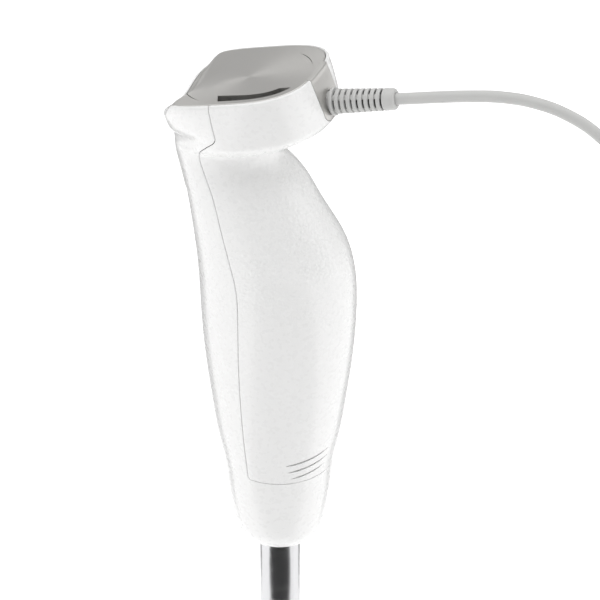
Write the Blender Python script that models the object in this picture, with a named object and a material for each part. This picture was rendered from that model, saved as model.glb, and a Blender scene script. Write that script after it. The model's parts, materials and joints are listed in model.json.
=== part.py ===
"""Immersion blender: a white handle with a motor inside, a steel arm and a bell with a two-winged blade.

The handle is drawn in the side plane, X towards the rear where the cord leaves, Z up, and it is the
same on both sides of Y = 0. Heights of the handle are counted from NOSE, the level where the arm
enters it. Sizes are millimetres, turned into metres when a mesh is made. The empty shaft_axis stands
on the drive shaft's axis and carries every piece.
"""
import bmesh
import bpy
from math import atan2, copysign, cos, pi, radians, sin
from mathutils import Matrix, Vector

MM = 0.001
GAP = 0.3                 # clearance between pieces that touch

# Overall
SHAFT_X = 5.5             # the shaft axis, behind the middle of the object
NOSE = 175.0              # height of the nose above the surface that the bell stands on
PARTING = 45.7            # above the nose: the joint between nose and rear shell
WALL = 2.2                # shell thickness
RING = 32                 # points round a handle section

# Arm and bell
TUBE_R = 9.8
TUBE_WALL = 0.9
TUBE_FOOT = 43.0          # the tube's lower end, inside the bell's neck
TUBE_HEAD = NOSE + 31.0
BELL_R = 32.0
BELL_WALL = 1.2
BELL_HEIGHT = 50.0
SHAFT_R = 2.5

# Motor, heights above the nose
STATOR = (98.0, 124.0)
STATOR_X = 27.0
STATOR_Y = 22.5
ROTOR_R = 13.5
ROTOR_SLOT = 0.88         # radius at the bottom of a slot, as a part of ROTOR_R
BRACKET_PLATE = 3.0
LOWER_BRACKET = 84.0
UPPER_BRACKET = 152.0
MOTOR_SCREW_X = 22.0
BEARING_R = 6.0
BRUSH_HALF = (2.5, 3.5)
BRUSH_BOX_WALL = 1.7

# Cap on the head: its top plane rises to the rear, its front edge dips and sags in the middle
TOP_AT_AXIS = 242.7
TOP_SLOPE = 0.227
DIP_START = -36.0
DIP_RATE = 0.16
DIP_END = 5.1
SAG = 4.7
SAG_START = -21.0
SAG_RUN = 22.4
SAG_HALF = 25.5
CAP_THICK = 2.5
LIP = 1.5
TONGUE_HALF = 9.7
TONGUE_LOW = 231.0        # where the sides of the tongue turn into its round end
TONGUE_END_DEPTH = 0.55   # the round end's depth for its half width
TONGUE_THICK = 3.6
SLOT_INSET = 3.4          # the cap's air slot, in from the cap's edge
SLOT_WIDTHS = (5.9, 2.4)  # at its front and rear end
SLOT_SPAN = (-17.0, 12.5)
REAR_WALL_SLOPE = 0.343

# Cord
CORD_R = 2.5
RELIEF_BASE = (24.0, 233.3)
RELIEF_TILT = radians(12.0)
RELIEF_LENGTH = 30.0
RELIEF_RIBS = 9
COIL_CENTRE = (92.0, -30.6)
COIL_R = 28.0
COIL_HALF_WIDTH = 5.3
COIL_FOOT = 0.4
COIL_HEIGHT = 10.3
COIL_EDGE = 1.5
PLUG_AT = Vector((COIL_CENTRE[0], COIL_CENTRE[1] - 22.0, 17.4))
PIN_APART = 9.3           # half the distance between the two pins
PIN_R = 2.0
PIN_LENGTH = 19.0

# Button
BUTTON_AT = Vector((-42.9, 0.0, NOSE + 193.0))
BUTTON_LEAN = radians(12.0)
BUTTON_IN = Vector((cos(BUTTON_LEAN), 0.0, sin(BUTTON_LEAN)))
BUTTON_UP = Vector((-sin(BUTTON_LEAN), 0.0, cos(BUTTON_LEAN)))
BUTTON_HALF = (8.0, 13.0)
BUTTON_CORNER = 6.0
BUTTON_MARGIN = 0.4       # how much larger its window is
BUTTON_PROUD = 1.0
BUTTON_DEPTH = 4.5
BUTTON_STEM_R = 2.0
BUTTON_STEM = 4.0         # the stem's reach behind the pad
PLUNGER_R = 1.5
PLUNGER_SHOWN = 3.2
SWITCH_DEPTH = BUTTON_DEPTH + BUTTON_STEM + GAP + PLUNGER_SHOWN
SWITCH_HALF = (9.0, 3.5)
SWITCH_BACK = 8.0

# Stations of the handle from the nose up. Each one is a flat section, wide across Y, that runs from a
# front point (x, height) to a rear point (x, height); then half widths at the side and at the front
# corners, and how square the front and rear halves are (2 is an ellipse). The sections fan out over
# the neck, so that one skin makes grip, neck and overhanging head.
STATIONS = [
    (-12.6, 1.6, 12.6, 1.6, 12.6, 12.6, 2.0, 2.0),
    (-16.6, 2.6, 16.6, 2.6, 16.6, 16.6, 2.0, 2.0),
    (-19.6, 6.2, 19.6, 6.2, 19.6, 19.6, 2.0, 2.0),
    (-21.9, 14.5, 21.9, 14.5, 21.9, 21.9, 2.0, 2.0),
    (-23.8, 28.0, 23.8, 28.0, 23.8, 23.8, 2.0, 2.0),
    (-25.8, PARTING, 25.6, PARTING, 25.7, 25.7, 2.0, 2.0),
    (-28.8, 60.0, 28.3, 60.0, 26.8, 26.8, 2.0, 2.0),
    (-32.1, 82.0, 31.6, 82.0, 28.1, 28.1, 2.0, 2.0),
    (-34.6, 104.0, 34.3, 104.0, 29.2, 29.2, 2.0, 2.0),
    (-35.9, 126.0, 35.7, 126.0, 29.9, 29.9, 2.0, 2.0),
    (-36.7, 146.0, 35.1, 146.0, 29.7, 29.7, 2.0, 2.0),
    (-38.0, 163.0, 30.4, 163.0, 28.4, 28.4, 2.1, 2.0),
    (-40.4, 180.0, 19.6, 180.0, 26.0, 26.0, 2.1, 2.0),
    (-43.2, 195.0, 8.6, 196.5, 22.6, 22.6, 2.2, 2.0),
    (-45.3, 203.0, 1.6, 206.5, 21.0, 20.8, 2.3, 2.0),
    (-45.8, 206.0, 3.8, 211.8, 21.8, 21.2, 2.4, 2.1),
    (-45.9, 208.0, 12.0, 216.2, 25.0, 21.8, 2.5, 2.2),
    (-45.8, 209.6, 21.3, 221.0, 28.3, 22.5, 2.6, 2.3),
    (-45.7, 211.4, 25.3, 225.4, 30.0, 23.4, 2.7, 2.4),
    (-45.6, 214.0, 25.5, 229.0, 30.5, 24.5, 2.9, 2.5),
    (-45.5, 218.0, 22.6, 238.0, 31.3, 27.6, 3.5, 2.8),
    (-45.4, 232.4, 19.3, 247.1, 31.8, 31.8, 4.2, 3.0),
]
RIM = STATIONS[-1]

# The joint between front and rear shell in the side plane, (x, height above the nose)
SEAM = [
    (-19.6, 252.0), (-19.2, 238.2), (-17.3, 226.0), (-16.8, 222.6), (-18.2, 220.0), (-22.2, 216.4),
    (-26.9, 211.3), (-28.2, 206.8), (-26.6, 201.0), (-21.2, 189.3), (-17.0, 176.0), (-12.6, 161.3),
    (-9.6, 150.2), (-8.5, 138.0), (-8.7, 104.0), (-7.9, 74.0), (-6.2, PARTING + 2.0),
]
VENTS = ((PARTING + 2.9, 13.8), (PARTING + 7.0, 12.7), (PARTING + 11.1, 11.6))  # height, front end's x
VENT_SLOPE = 0.27
VENT_HALF = 0.55
VENT_NEAR = 8.6           # how close to the middle the slots run at the rear

# Centre line of the free cord after its strain relief, (x, y, height above the surface)
CORD_ROUTE = [
    (78.0, 0.0, 419.8), (97.0, 0.3, 422.8), (114.0, 1.0, 422.2), (130.0, 2.0, 417.2),
    (144.0, 3.2, 407.4), (155.0, 4.4, 392.5), (162.5, 5.6, 373.0), (166.5, 6.6, 348.0),
    (168.5, 7.4, 310.0), (169.0, 7.6, 260.0), (168.6, 7.0, 200.0), (168.0, 5.8, 140.0),
    (167.0, 4.4, 90.0), (165.0, 3.2, 56.0), (159.4, 2.0, 28.0), (148.4, 1.0, 10.6),
    (134.5, 0.3, 4.6), (121.0, 0.0, 3.2), (COIL_CENTRE[0] + 18.6, 0.0, 2.9),
]

COLOURS = {
    "white_gloss": ((0.87, 0.87, 0.86, 1.0), 0.28, 0.0),
    "cap_grey": ((0.40, 0.395, 0.385, 1.0), 0.35, 0.7),
    "relief_grey": ((0.55, 0.55, 0.54, 1.0), 0.6, 0.0),
    "soft_grey": ((0.32, 0.32, 0.32, 1.0), 0.7, 0.0),
    "steel": ((0.62, 0.62, 0.63, 1.0), 0.2, 1.0),
    "iron": ((0.28, 0.28, 0.29, 1.0), 0.45, 1.0),
    "copper": ((0.72, 0.36, 0.18, 1.0), 0.35, 1.0),
    "bronze": ((0.55, 0.4, 0.22, 1.0), 0.4, 1.0),
    "carbon": ((0.06, 0.06, 0.06, 1.0), 0.8, 0.0),
    "nylon": ((0.75, 0.74, 0.7, 1.0), 0.5, 0.0),
    "black_plastic": ((0.05, 0.05, 0.05, 1.0), 0.5, 0.0),
    "rubber": ((0.07, 0.07, 0.07, 1.0), 0.8, 0.0),
    "board_green": ((0.06, 0.3, 0.12, 1.0), 0.5, 0.0),
    "capacitor_yellow": ((0.8, 0.6, 0.1, 1.0), 0.5, 0.0),
    "brown_wire": ((0.25, 0.12, 0.06, 1.0), 0.5, 0.0),
    "blue_wire": ((0.06, 0.15, 0.5, 1.0), 0.5, 0.0),
}


# ---------------------------------------------------------------- making objects

def clear_scene():
    for thing in list(bpy.data.objects):
        bpy.data.objects.remove(thing, do_unlink=True)


def material(name):
    if name in bpy.data.materials:
        return bpy.data.materials[name]
    colour, roughness, metallic = COLOURS[name]
    made = bpy.data.materials.new(name)
    made.use_nodes = True
    shader = made.node_tree.nodes["Principled BSDF"]
    shader.inputs["Base Color"].default_value = colour
    shader.inputs["Roughness"].default_value = roughness
    shader.inputs["Metallic"].default_value = metallic
    made.diffuse_color = colour
    return made


def empty(name, location, parent=None):
    made = bpy.data.objects.new(name, None)
    made.location = Vector(location) * MM
    made.parent = parent
    bpy.context.scene.collection.objects.link(made)
    return made


def piece(name, shape, finish, parent, origin=(0.0, 0.0, 0.0)):
    """Turn the bmesh, drawn about its parent, into an object whose origin is at the given point."""
    bmesh.ops.triangulate(shape, faces=shape.faces)
    bmesh.ops.recalc_face_normals(shape, faces=shape.faces)
    bmesh.ops.translate(shape, verts=shape.verts, vec=-Vector(origin))
    bmesh.ops.scale(shape, verts=shape.verts, vec=(MM, MM, MM))
    mesh = bpy.data.meshes.new(name)
    shape.to_mesh(mesh)
    shape.free()
    mesh.shade_smooth()
    mesh.set_sharp_from_angle(angle=radians(35.0))
    made = bpy.data.objects.new(name, mesh)
    made.location = Vector(origin) * MM
    made.parent = parent
    if finish:
        made.data.materials.append(material(finish))
    bpy.context.scene.collection.objects.link(made)
    return made


def cutter(name, shape, parent):
    made = piece(name, shape, None, parent)
    made.hide_render = True
    made.display_type = "WIRE"
    return made


def combine(target, tool, operation):
    step = target.modifiers.new(operation.lower() + "_" + tool.name, "BOOLEAN")
    step.operation = operation
    step.solver = "EXACT"
    step.object = tool


# ---------------------------------------------------------------- shapes

def loft(rings, closed=False):
    """Skin a list of rings; a closed one joins its last ring to its first, others get flat ends."""
    shape = bmesh.new()
    rows = [[shape.verts.new(point) for point in ring] for ring in rings]
    pairs = list(zip(rows, rows[1:]))
    if closed:
        pairs.append((rows[-1], rows[0]))
    for low, high in pairs:
        for k in range(len(low)):
            after = (k + 1) % len(low)
            shape.faces.new((low[k], low[after], high[after], high[k]))
    if not closed:
        shape.faces.new(rows[0][::-1])
        shape.faces.new(rows[-1])
    return shape


def circle(radius, z, count, centre=(0.0, 0.0)):
    return [Vector((centre[0] + radius * cos(2 * pi * k / count),
                    centre[1] + radius * sin(2 * pi * k / count), z)) for k in range(count)]


def turned(profile, count=20, centre=(0.0, 0.0), closed=True):
    """Turn (radius, height) points about Z. An open profile gets flat end faces."""
    return loft([circle(radius, z, count, centre) for radius, z in profile], closed)


def tube_shape(outer, inner, low, high, count=20, centre=(0.0, 0.0)):
    return turned([(outer, low), (outer, high), (inner, high), (inner, low)], count, centre)


def rod_shape(radius, low, high, count=16, centre=(0.0, 0.0)):
    return turned([(radius, low), (radius, high)], count, centre, closed=False)


def box_shape(low, high):
    shape = bmesh.new()
    bmesh.ops.create_cube(shape, size=1.0)
    size = [b - a for a, b in zip(low, high)]
    middle = [(a + b) / 2 for a, b in zip(low, high)]
    bmesh.ops.scale(shape, verts=shape.verts, vec=size)
    bmesh.ops.translate(shape, verts=shape.verts, vec=middle)
    return shape


def prism(outline, direction, start, end):
    """Sweep a closed outline of 3-D points along a direction, from start to end."""
    step = Vector(direction).normalized()
    return loft([[Vector(p) + step * start for p in outline], [Vector(p) + step * end for p in outline]])


def tilted(shape, origin, tilt):
    """Lean a shape drawn along Z towards +X by the angle, then carry it to the origin."""
    turn = Matrix.Translation(Vector(origin)) @ Matrix.Rotation(tilt, 4, "Y")
    bmesh.ops.transform(shape, matrix=turn, verts=shape.verts)
    return shape


def rounded_outline(half_x, half_y, radius, corner_steps=4):
    """A rectangle with round corners in the XY plane, as (x, y) pairs."""
    points = []
    for quarter, (sx, sy) in enumerate(((1, 1), (-1, 1), (-1, -1), (1, -1))):
        for k in range(corner_steps + 1):
            angle = (quarter + k / corner_steps) * pi / 2
            points.append((sx * (half_x - radius) + radius * cos(angle),
                           sy * (half_y - radius) + radius * sin(angle)))
    return points


def smooth_row(rows, steps):
    """A Catmull-Rom curve through rows of numbers, with the given steps between two rows."""
    last = len(rows) - 1
    made = []
    for i in range(last):
        four = [rows[max(0, min(last, i + k))] for k in (-1, 0, 1, 2)]
        for s in range(steps):
            t = s / steps
            made.append(tuple(
                0.5 * (2 * b + (c - a) * t + (2 * a - 5 * b + 4 * c - d) * t ** 2
                       + (3 * b - a - 3 * c + d) * t ** 3)
                for a, b, c, d in zip(*four)))
    made.append(tuple(rows[last]))
    return made


def spread_evenly(points, count):
    """The same polyline with points at equal distances."""
    travelled = [0.0]
    for a, b in zip(points, points[1:]):
        travelled.append(travelled[-1] + (b - a).length)
    made = []
    leg = 0
    for k in range(count):
        goal = travelled[-1] * k / (count - 1)
        while leg < len(points) - 2 and travelled[leg + 1] < goal:
            leg += 1
        span = travelled[leg + 1] - travelled[leg]
        made.append(points[leg].lerp(points[leg + 1], (goal - travelled[leg]) / span))
    return made


def wire(name, points, radius, finish, parent, sides=2):
    """A round tube along the points; sides 2 gives eight flats round it, 3 gives ten."""
    curve = bpy.data.curves.new(name, "CURVE")
    curve.dimensions = "3D"
    curve.bevel_depth = radius * MM
    curve.bevel_resolution = sides
    curve.use_fill_caps = True
    line = curve.splines.new("POLY")
    line.points.add(len(points) - 1)
    for place, point in zip(line.points, points):
        place.co = (*(Vector(point) * MM), 1.0)
    curve.materials.append(material(finish))
    made = bpy.data.objects.new(name, curve)
    made.parent = parent
    bpy.context.scene.collection.objects.link(made)
    return made


# ---------------------------------------------------------------- the handle's form

def ease(t):
    t = max(0.0, min(1.0, t))
    return t * t * (3 - 2 * t)


def section(station, inset=0.0, count=RING):
    """Points of one handle section, drawn in by the inset and raised to the nose's height."""
    front_x, front_h, rear_x, rear_h, side, corner, front_power, rear_power = station
    front = Vector((front_x, 0.0, NOSE + front_h))
    rear = Vector((rear_x, 0.0, NOSE + rear_h))
    middle = (front + rear) / 2
    along = (rear - front).normalized()
    reach = (rear - front).length / 2 - inset
    points = []
    for k in range(count):
        c = cos(2 * pi * k / count)
        s = sin(2 * pi * k / count)
        power = rear_power if c > 0 else front_power
        u = copysign(abs(c) ** (2 / power), c)
        v = copysign(abs(s) ** (2 / power), s)
        half = side + (corner - side) * ease((-u - 0.1) / 0.7) - inset
        points.append(middle + along * (u * reach) + Vector((0.0, v * half, 0.0)))
    return points


def top_height(x, y):
    """The cap's top surface: a plane whose front edge dips, most of all in the middle."""
    dip = max(0.0, min(DIP_END, DIP_START - x))
    sag = SAG * ease((SAG_START - x) / SAG_RUN) * cos(min(1.0, abs(y) / SAG_HALF) * pi / 2) ** 2
    return NOSE + TOP_AT_AXIS + TOP_SLOPE * x - DIP_RATE * dip ** 2 - sag


def rim_ring(inset, depth):
    """The handle's top edge, drawn in by the inset, at a depth below the cap's top surface."""
    return [Vector((p.x, p.y, top_height(p.x, p.y) - depth)) for p in section(RIM, inset)]


def side_rings(inset, first=0):
    return [section(station, inset) for station in STATIONS[first:-1]]


def level_ring(station, inset, height):
    return [Vector((p.x, p.y, height)) for p in section(station, inset)]


def handle_skin():
    """The whole handle as one hollow skin, open at the cap and round the arm tube."""
    hole = TUBE_R + GAP
    outside = side_rings(0.0) + [rim_ring(0.0, 1.6), rim_ring(0.45, 0.45), rim_ring(1.0, 0.0)]
    ledge = [rim_ring(LIP, 0.0), rim_ring(LIP, CAP_THICK + GAP), rim_ring(WALL, CAP_THICK + GAP)]
    inside = side_rings(WALL, first=2)[::-1]
    floor = NOSE + STATIONS[0][1] + WALL
    return loft(outside + ledge + inside
                + [level_ring(STATIONS[1], WALL, floor), circle(hole, floor, RING),
                   circle(hole, NOSE + STATIONS[0][1], RING)], closed=True)


def offset_path(path, distance):
    """The same side-plane path, moved to its left by the distance."""
    made = []
    for i, point in enumerate(path):
        before = path[max(0, i - 1)]
        after = path[min(len(path) - 1, i + 1)]
        run = Vector((after[0] - before[0], after[1] - before[1])).normalized()
        made.append((point[0] - run.y * distance, point[1] + run.x * distance))
    return made


def front_region(distance):
    """The space that belongs to the front shell, its border moved back by the distance."""
    seam = offset_path(smooth_row(SEAM, 3), distance)
    parting = PARTING + distance
    border = seam[:-1] + [(SEAM[-1][0] + distance, parting + 1.2), (SEAM[-1][0] + 1.0, parting)]
    around = [(60.0, parting), (60.0, -20.0), (-70.0, -20.0), (-70.0, 260.0), (seam[0][0], 260.0)]
    outline = [(x, -60.0, NOSE + h) for x, h in border + around]
    return prism(outline, (0, 1, 0), 0.0, 120.0)


# ---------------------------------------------------------------- shells, cap and button

def tongue_block(grow):
    """The block of the cap's rear tongue: a round-ended bar that leans with the head's rear wall."""
    lean = atan2(REAR_WALL_SLOPE, 1.0)
    end_r = TONGUE_HALF - 1.1 + grow
    sides = [(TONGUE_HALF + grow, TONGUE_LOW + 31.0), (TONGUE_HALF + grow, TONGUE_LOW + 9.0)]
    end = [(end_r * cos(a), TONGUE_LOW - end_r * TONGUE_END_DEPTH * sin(a))
           for a in (k * pi / 10 for k in range(11))]
    outline = []
    for y, h in sides + end + [(-y, h) for y, h in sides[::-1]]:
        x = RIM[2] + (RIM[3] - h) * REAR_WALL_SLOPE
        outline.append((x, y, NOSE + h))
    return prism(outline, (cos(lean), 0.0, sin(lean)), -TONGUE_THICK - grow, 8.0)


def vent_cutter(height, front_x, side):
    """One slot of the rear shell: a thin slab through the wall on one side that climbs to the rear."""
    outline = []
    for x, edge in ((front_x, -VENT_HALF), (45.0, -VENT_HALF), (45.0, VENT_HALF), (front_x, VENT_HALF)):
        outline.append((x, 0.0, NOSE + height + (x - 12.5) * VENT_SLOPE + edge))
    return prism(outline, (0, side, 0), VENT_NEAR, 40.0)


def button_outline(grow):
    """The button's edge in the plane that leans with the front face."""
    half_y, half_z = BUTTON_HALF
    flat = rounded_outline(half_y + grow, half_z + grow, BUTTON_CORNER + grow)
    return [BUTTON_AT + Vector((0.0, y, 0.0)) + BUTTON_UP * z for y, z in flat]


def make_shells(axis):
    front = piece("front_shell", handle_skin(), "white_gloss", axis)
    combine(front, cutter("front_space", front_region(-GAP / 2), axis), "INTERSECT")
    window = prism(button_outline(BUTTON_MARGIN), BUTTON_IN, -12.0, 12.0)
    combine(front, cutter("button_window", window, axis), "DIFFERENCE")

    rear = piece("rear_shell", handle_skin(), "white_gloss", axis)
    combine(rear, cutter("front_space_grown", front_region(GAP / 2), axis), "DIFFERENCE")
    combine(rear, cutter("tongue_notch", tongue_block(GAP), axis), "DIFFERENCE")
    for side in (-1, 1):
        for number, (height, front_x) in enumerate(VENTS):
            slot = cutter("vent_%d_%d" % (side + 1, number), vent_cutter(height, front_x, side), axis)
            combine(rear, slot, "DIFFERENCE")


def cap_plate():
    inset = LIP + GAP
    scales = (1.0, 0.97, 0.8, 0.55, 0.3)
    outline = section(RIM, inset)
    middle = sum(outline, Vector()) / len(outline)
    rings = []
    for depth, order in ((CAP_THICK, scales[::-1]), (0.0, scales)):
        for scale in order:
            ring = [middle + (p - middle) * scale for p in outline]
            rings.append([Vector((p.x, p.y, top_height(p.x, p.y) - depth)) for p in ring])
    return loft(rings)


def slot_cutter():
    """The curved slot along the right border of the cap."""
    outer = section(RIM, LIP + GAP + SLOT_INSET, 160)
    inner = section(RIM, LIP + GAP + SLOT_INSET + SLOT_WIDTHS[0], 160)
    span = [k for k, p in enumerate(outer) if p.y < 0 and SLOT_SPAN[0] <= p.x <= SLOT_SPAN[1]]
    near = spread_evenly([outer[k] for k in span], 8)
    far = spread_evenly([inner[k] for k in span], 8)
    narrowing = 1.0 - SLOT_WIDTHS[1] / SLOT_WIDTHS[0]
    far = [q.lerp(p, narrowing * k / 7) for k, (p, q) in enumerate(zip(near, far))]
    outline = near + far[::-1]
    return prism([(p.x, p.y, 0.0) for p in outline], (0, 0, 1), NOSE + 225.0, NOSE + 262.0)


def relief_frame(distance=0.0):
    """A point on the strain relief's axis, the distance out from the head's wall."""
    x, h = RELIEF_BASE
    return Vector((x + distance * cos(RELIEF_TILT), 0.0, NOSE + h + distance * sin(RELIEF_TILT)))


def along_relief(shape):
    """Carry a shape drawn up Z to the strain relief's axis."""
    return tilted(shape, relief_frame(), pi / 2 - RELIEF_TILT)


def make_cap(axis):
    cap = piece("top_cap", cap_plate(), "cap_grey", axis)
    head = loft([section(s) for s in STATIONS[17:-1]]
                + [rim_ring(0.0, 1.6), rim_ring(0.45, 0.45)]
                + [[Vector((p.x, p.y, NOSE + TOP_AT_AXIS + TOP_SLOPE * p.x)) for p in section(RIM, 1.0)]])
    tongue = cutter("tongue_solid", head, axis)
    combine(tongue, cutter("tongue_block", tongue_block(0.0), axis), "INTERSECT")
    combine(cap, tongue, "UNION")
    combine(cap, cutter("cap_slot", slot_cutter(), axis), "DIFFERENCE")
    bore = along_relief(rod_shape(4.6 + GAP, -14.0, 14.0, 20))
    combine(cap, cutter("relief_bore", bore, axis), "DIFFERENCE")


def make_button(axis):
    """The button's face follows the front of the handle and stands a little proud of it."""
    grown = [section(s, -BUTTON_PROUD) for s in smooth_row(STATIONS[10:16], 3)[3:-3]]
    button = piece("power_button", loft(grown), "soft_grey", axis, origin=BUTTON_AT)
    edge = prism(button_outline(0.0), BUTTON_IN, -12.0, BUTTON_DEPTH)
    combine(button, cutter("button_edge", edge, axis), "INTERSECT")
    stem, _ = in_button_frame(rod_shape(BUTTON_STEM_R, -2.0, BUTTON_STEM, 12), BUTTON_DEPTH)
    combine(button, cutter("button_stem", stem, axis), "UNION")


def in_button_frame(shape, depth):
    """Carry a shape drawn up Z to the button's line of travel, the depth in from the face."""
    where = BUTTON_AT + BUTTON_IN * depth
    return tilted(shape, where, pi / 2 - BUTTON_LEAN), where


def make_switch(axis):
    """Micro switch with its plunger, on a board behind the button, and the button's spring."""
    plunger, where = in_button_frame(rod_shape(PLUNGER_R, 0.0, PLUNGER_SHOWN + 1.0, 12),
                                     SWITCH_DEPTH - PLUNGER_SHOWN)
    piece("switch_plunger", plunger, "black_plastic", axis, origin=where)

    half_x, half_y = SWITCH_HALF
    body = box_shape((-half_x, -half_y, 0.0), (half_x, half_y, SWITCH_BACK))
    body, _ = in_button_frame(body, SWITCH_DEPTH)
    switch = piece("micro_switch", body, "black_plastic", axis)
    well, _ = in_button_frame(rod_shape(PLUNGER_R + GAP, -1.0, 4.5, 12), SWITCH_DEPTH)
    combine(switch, cutter("plunger_well", well, axis), "DIFFERENCE")

    board_depth = SWITCH_DEPTH + SWITCH_BACK + GAP
    board, _ = in_button_frame(box_shape((-16.0, -12.0, 0.0), (14.0, 12.0, 1.6)), board_depth)
    piece("circuit_board", board, "board_green", axis)
    box, _ = in_button_frame(box_shape((-12.0, -9.0, 0.0), (4.0, 9.0, 8.5)), board_depth + 1.9)
    piece("suppression_capacitor", box, "capacitor_yellow", axis)

    turns, per_turn, coil_r, length = 4, 9, 4.6, SWITCH_DEPTH - BUTTON_DEPTH - 1.8
    turn = Matrix.Translation(BUTTON_AT + BUTTON_IN * BUTTON_DEPTH)
    turn = turn @ Matrix.Rotation(pi / 2 - BUTTON_LEAN, 4, "Y")
    points = []
    for k in range(turns * per_turn + 1):
        angle = 2 * pi * k / per_turn
        rise = 0.9 + length * k / (turns * per_turn)
        points.append(turn @ Vector((coil_r * cos(angle), coil_r * sin(angle), rise)))
    wire("button_spring", points, 0.35, "steel", axis, sides=1)


# ---------------------------------------------------------------- cord

def make_strain_relief(axis):
    """A ribbed sleeve moulded on the cord, with a neck through the tongue and a flange inside."""
    pitch = 2.65
    base_r, tip_r = 5.2, 4.5

    def outer(distance):
        return base_r + (tip_r - base_r) * distance / RELIEF_LENGTH
    profile = [(CORD_R + GAP, -7.2), (7.0, -7.2), (7.0, -5.4), (4.6, -5.4), (4.6, 1.3),
               (outer(0) + 0.6, 1.3), (outer(0) + 0.6, 2.6)]
    for rib in range(RELIEF_RIBS):
        start = 2.6 + rib * pitch
        profile += [(outer(start) - 1.2, start + 0.1), (outer(start) - 1.2, start + 0.85)]
        if rib < RELIEF_RIBS - 1:
            profile += [(outer(start), start + 0.95), (outer(start), start + pitch)]
    start = 2.6 + (RELIEF_RIBS - 1) * pitch + 0.95
    profile += [(outer(start), start), (outer(28.5), 28.5), (outer(30) - 1.1, RELIEF_LENGTH),
                (CORD_R + GAP, RELIEF_LENGTH)]
    piece("strain_relief", along_relief(turned(profile, 12)), "relief_grey", axis)


def cord_points():
    """The free cord from inside its strain relief down to the coil."""
    start = [relief_frame(d) for d in (2.0, 14.0, 26.0, 38.0)]
    route = start + [Vector(p) for p in CORD_ROUTE]
    curve = [Vector(p) for p in smooth_row([tuple(p) for p in route], 12)]
    return spread_evenly(curve, 64)


def make_cord(axis):
    wire("power_cord", cord_points(), CORD_R, "relief_grey", axis, sides=2)
    x, y = COIL_CENTRE
    near, far = COIL_R - COIL_HALF_WIDTH, COIL_R + COIL_HALF_WIDTH
    shoulder = COIL_HEIGHT - COIL_EDGE
    ring = turned([(near, COIL_FOOT), (far, COIL_FOOT), (far, shoulder), (far - COIL_EDGE, COIL_HEIGHT),
                   (near + COIL_EDGE, COIL_HEIGHT), (near, shoulder)], 28, (x, y))
    piece("cord_coil", ring, "relief_grey", axis)


def make_plug(axis):
    """Flat two-pin plug, lying on the coil."""
    stations = [(-18.0, 3.6, 3.6, 2.4), (-16.0, 4.4, 4.0, 2.6), (-5.0, 6.0, 4.6, 3.0),
                (4.0, 12.5, 5.6, 4.0), (11.0, 17.2, 6.6, 5.0), (17.0, 17.6, 6.8, 5.4),
                (19.0, 17.2, 6.4, 5.4)]
    rings = []
    for along, half_w, half_t, radius in stations:
        rings.append([PLUG_AT + Vector((along, y, z))
                      for y, z in rounded_outline(half_w, half_t, min(radius, half_t - 0.1), 3)])
    piece("plug_body", loft(rings), "relief_grey", axis)
    for side, name in ((-1, "plug_pin_left"), (1, "plug_pin_right")):
        pin = turned([(PIN_R, 0.0), (PIN_R, PIN_LENGTH - 1.5), (PIN_R - 0.8, PIN_LENGTH)], 12, closed=False)
        tilted(pin, PLUG_AT + Vector((stations[-1][0] + GAP, side * PIN_APART, 0.0)), pi / 2)
        piece(name, pin, "steel", axis)


def make_cord_clamp(axis):
    """A bar that two screws press on the cord, on a bridge inside the head."""
    at = Vector((8.0, 0.0, NOSE + 226.4))
    bar = box_shape(at + Vector((-3.5, -11.0, 3.2)), at + Vector((3.5, 11.0, 6.0)))
    bridge = box_shape(at + Vector((-4.5, -13.0, -6.4)), at + Vector((4.5, 13.0, -3.2)))
    clamp = piece("cord_clamp", bar, "nylon", axis)
    base = piece("clamp_bridge", bridge, "nylon", axis)
    for side, name in ((-1, "clamp_screw_left"), (1, "clamp_screw_right")):
        spot = (at.x, side * 8.2)
        hole = rod_shape(1.3, at.z - 9.0, at.z + 9.0, 12, spot)
        tool = cutter(name + "_hole", hole, axis)
        combine(clamp, tool, "DIFFERENCE")
        combine(base, tool, "DIFFERENCE")
        screw = turned([(1.0, at.z - 7.0), (1.0, at.z + 6.0 + GAP), (2.4, at.z + 6.0 + GAP),
                        (2.2, at.z + 7.6)], 12, spot, closed=False)
        piece(name, screw, "steel", axis)


def make_leads(axis):
    """Live and neutral leads from the cord to the board, and from the board to the brushes."""
    for side, name, finish in ((-1, "lead_live", "brown_wire"), (1, "lead_neutral", "blue_wire")):
        route = [(16.0, side * 1.5, NOSE + 229.5), (8.0, side * 1.6, NOSE + 227.9),
                 (-1.0, side * 3.0, NOSE + 224.0), (-5.0, side * 6.0, NOSE + 212.0),
                 (-6.0, side * 9.5, NOSE + 200.0), (-9.0, side * 12.5, NOSE + 186.0),
                 (-11.0, side * 15.0, NOSE + 172.0), (-8.0, side * 17.5, NOSE + 163.0)]
        points = spread_evenly([Vector(p) for p in smooth_row(route, 6)], 16)
        wire(name, points, 0.9, finish, axis, sides=1)


# ---------------------------------------------------------------- motor

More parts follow.
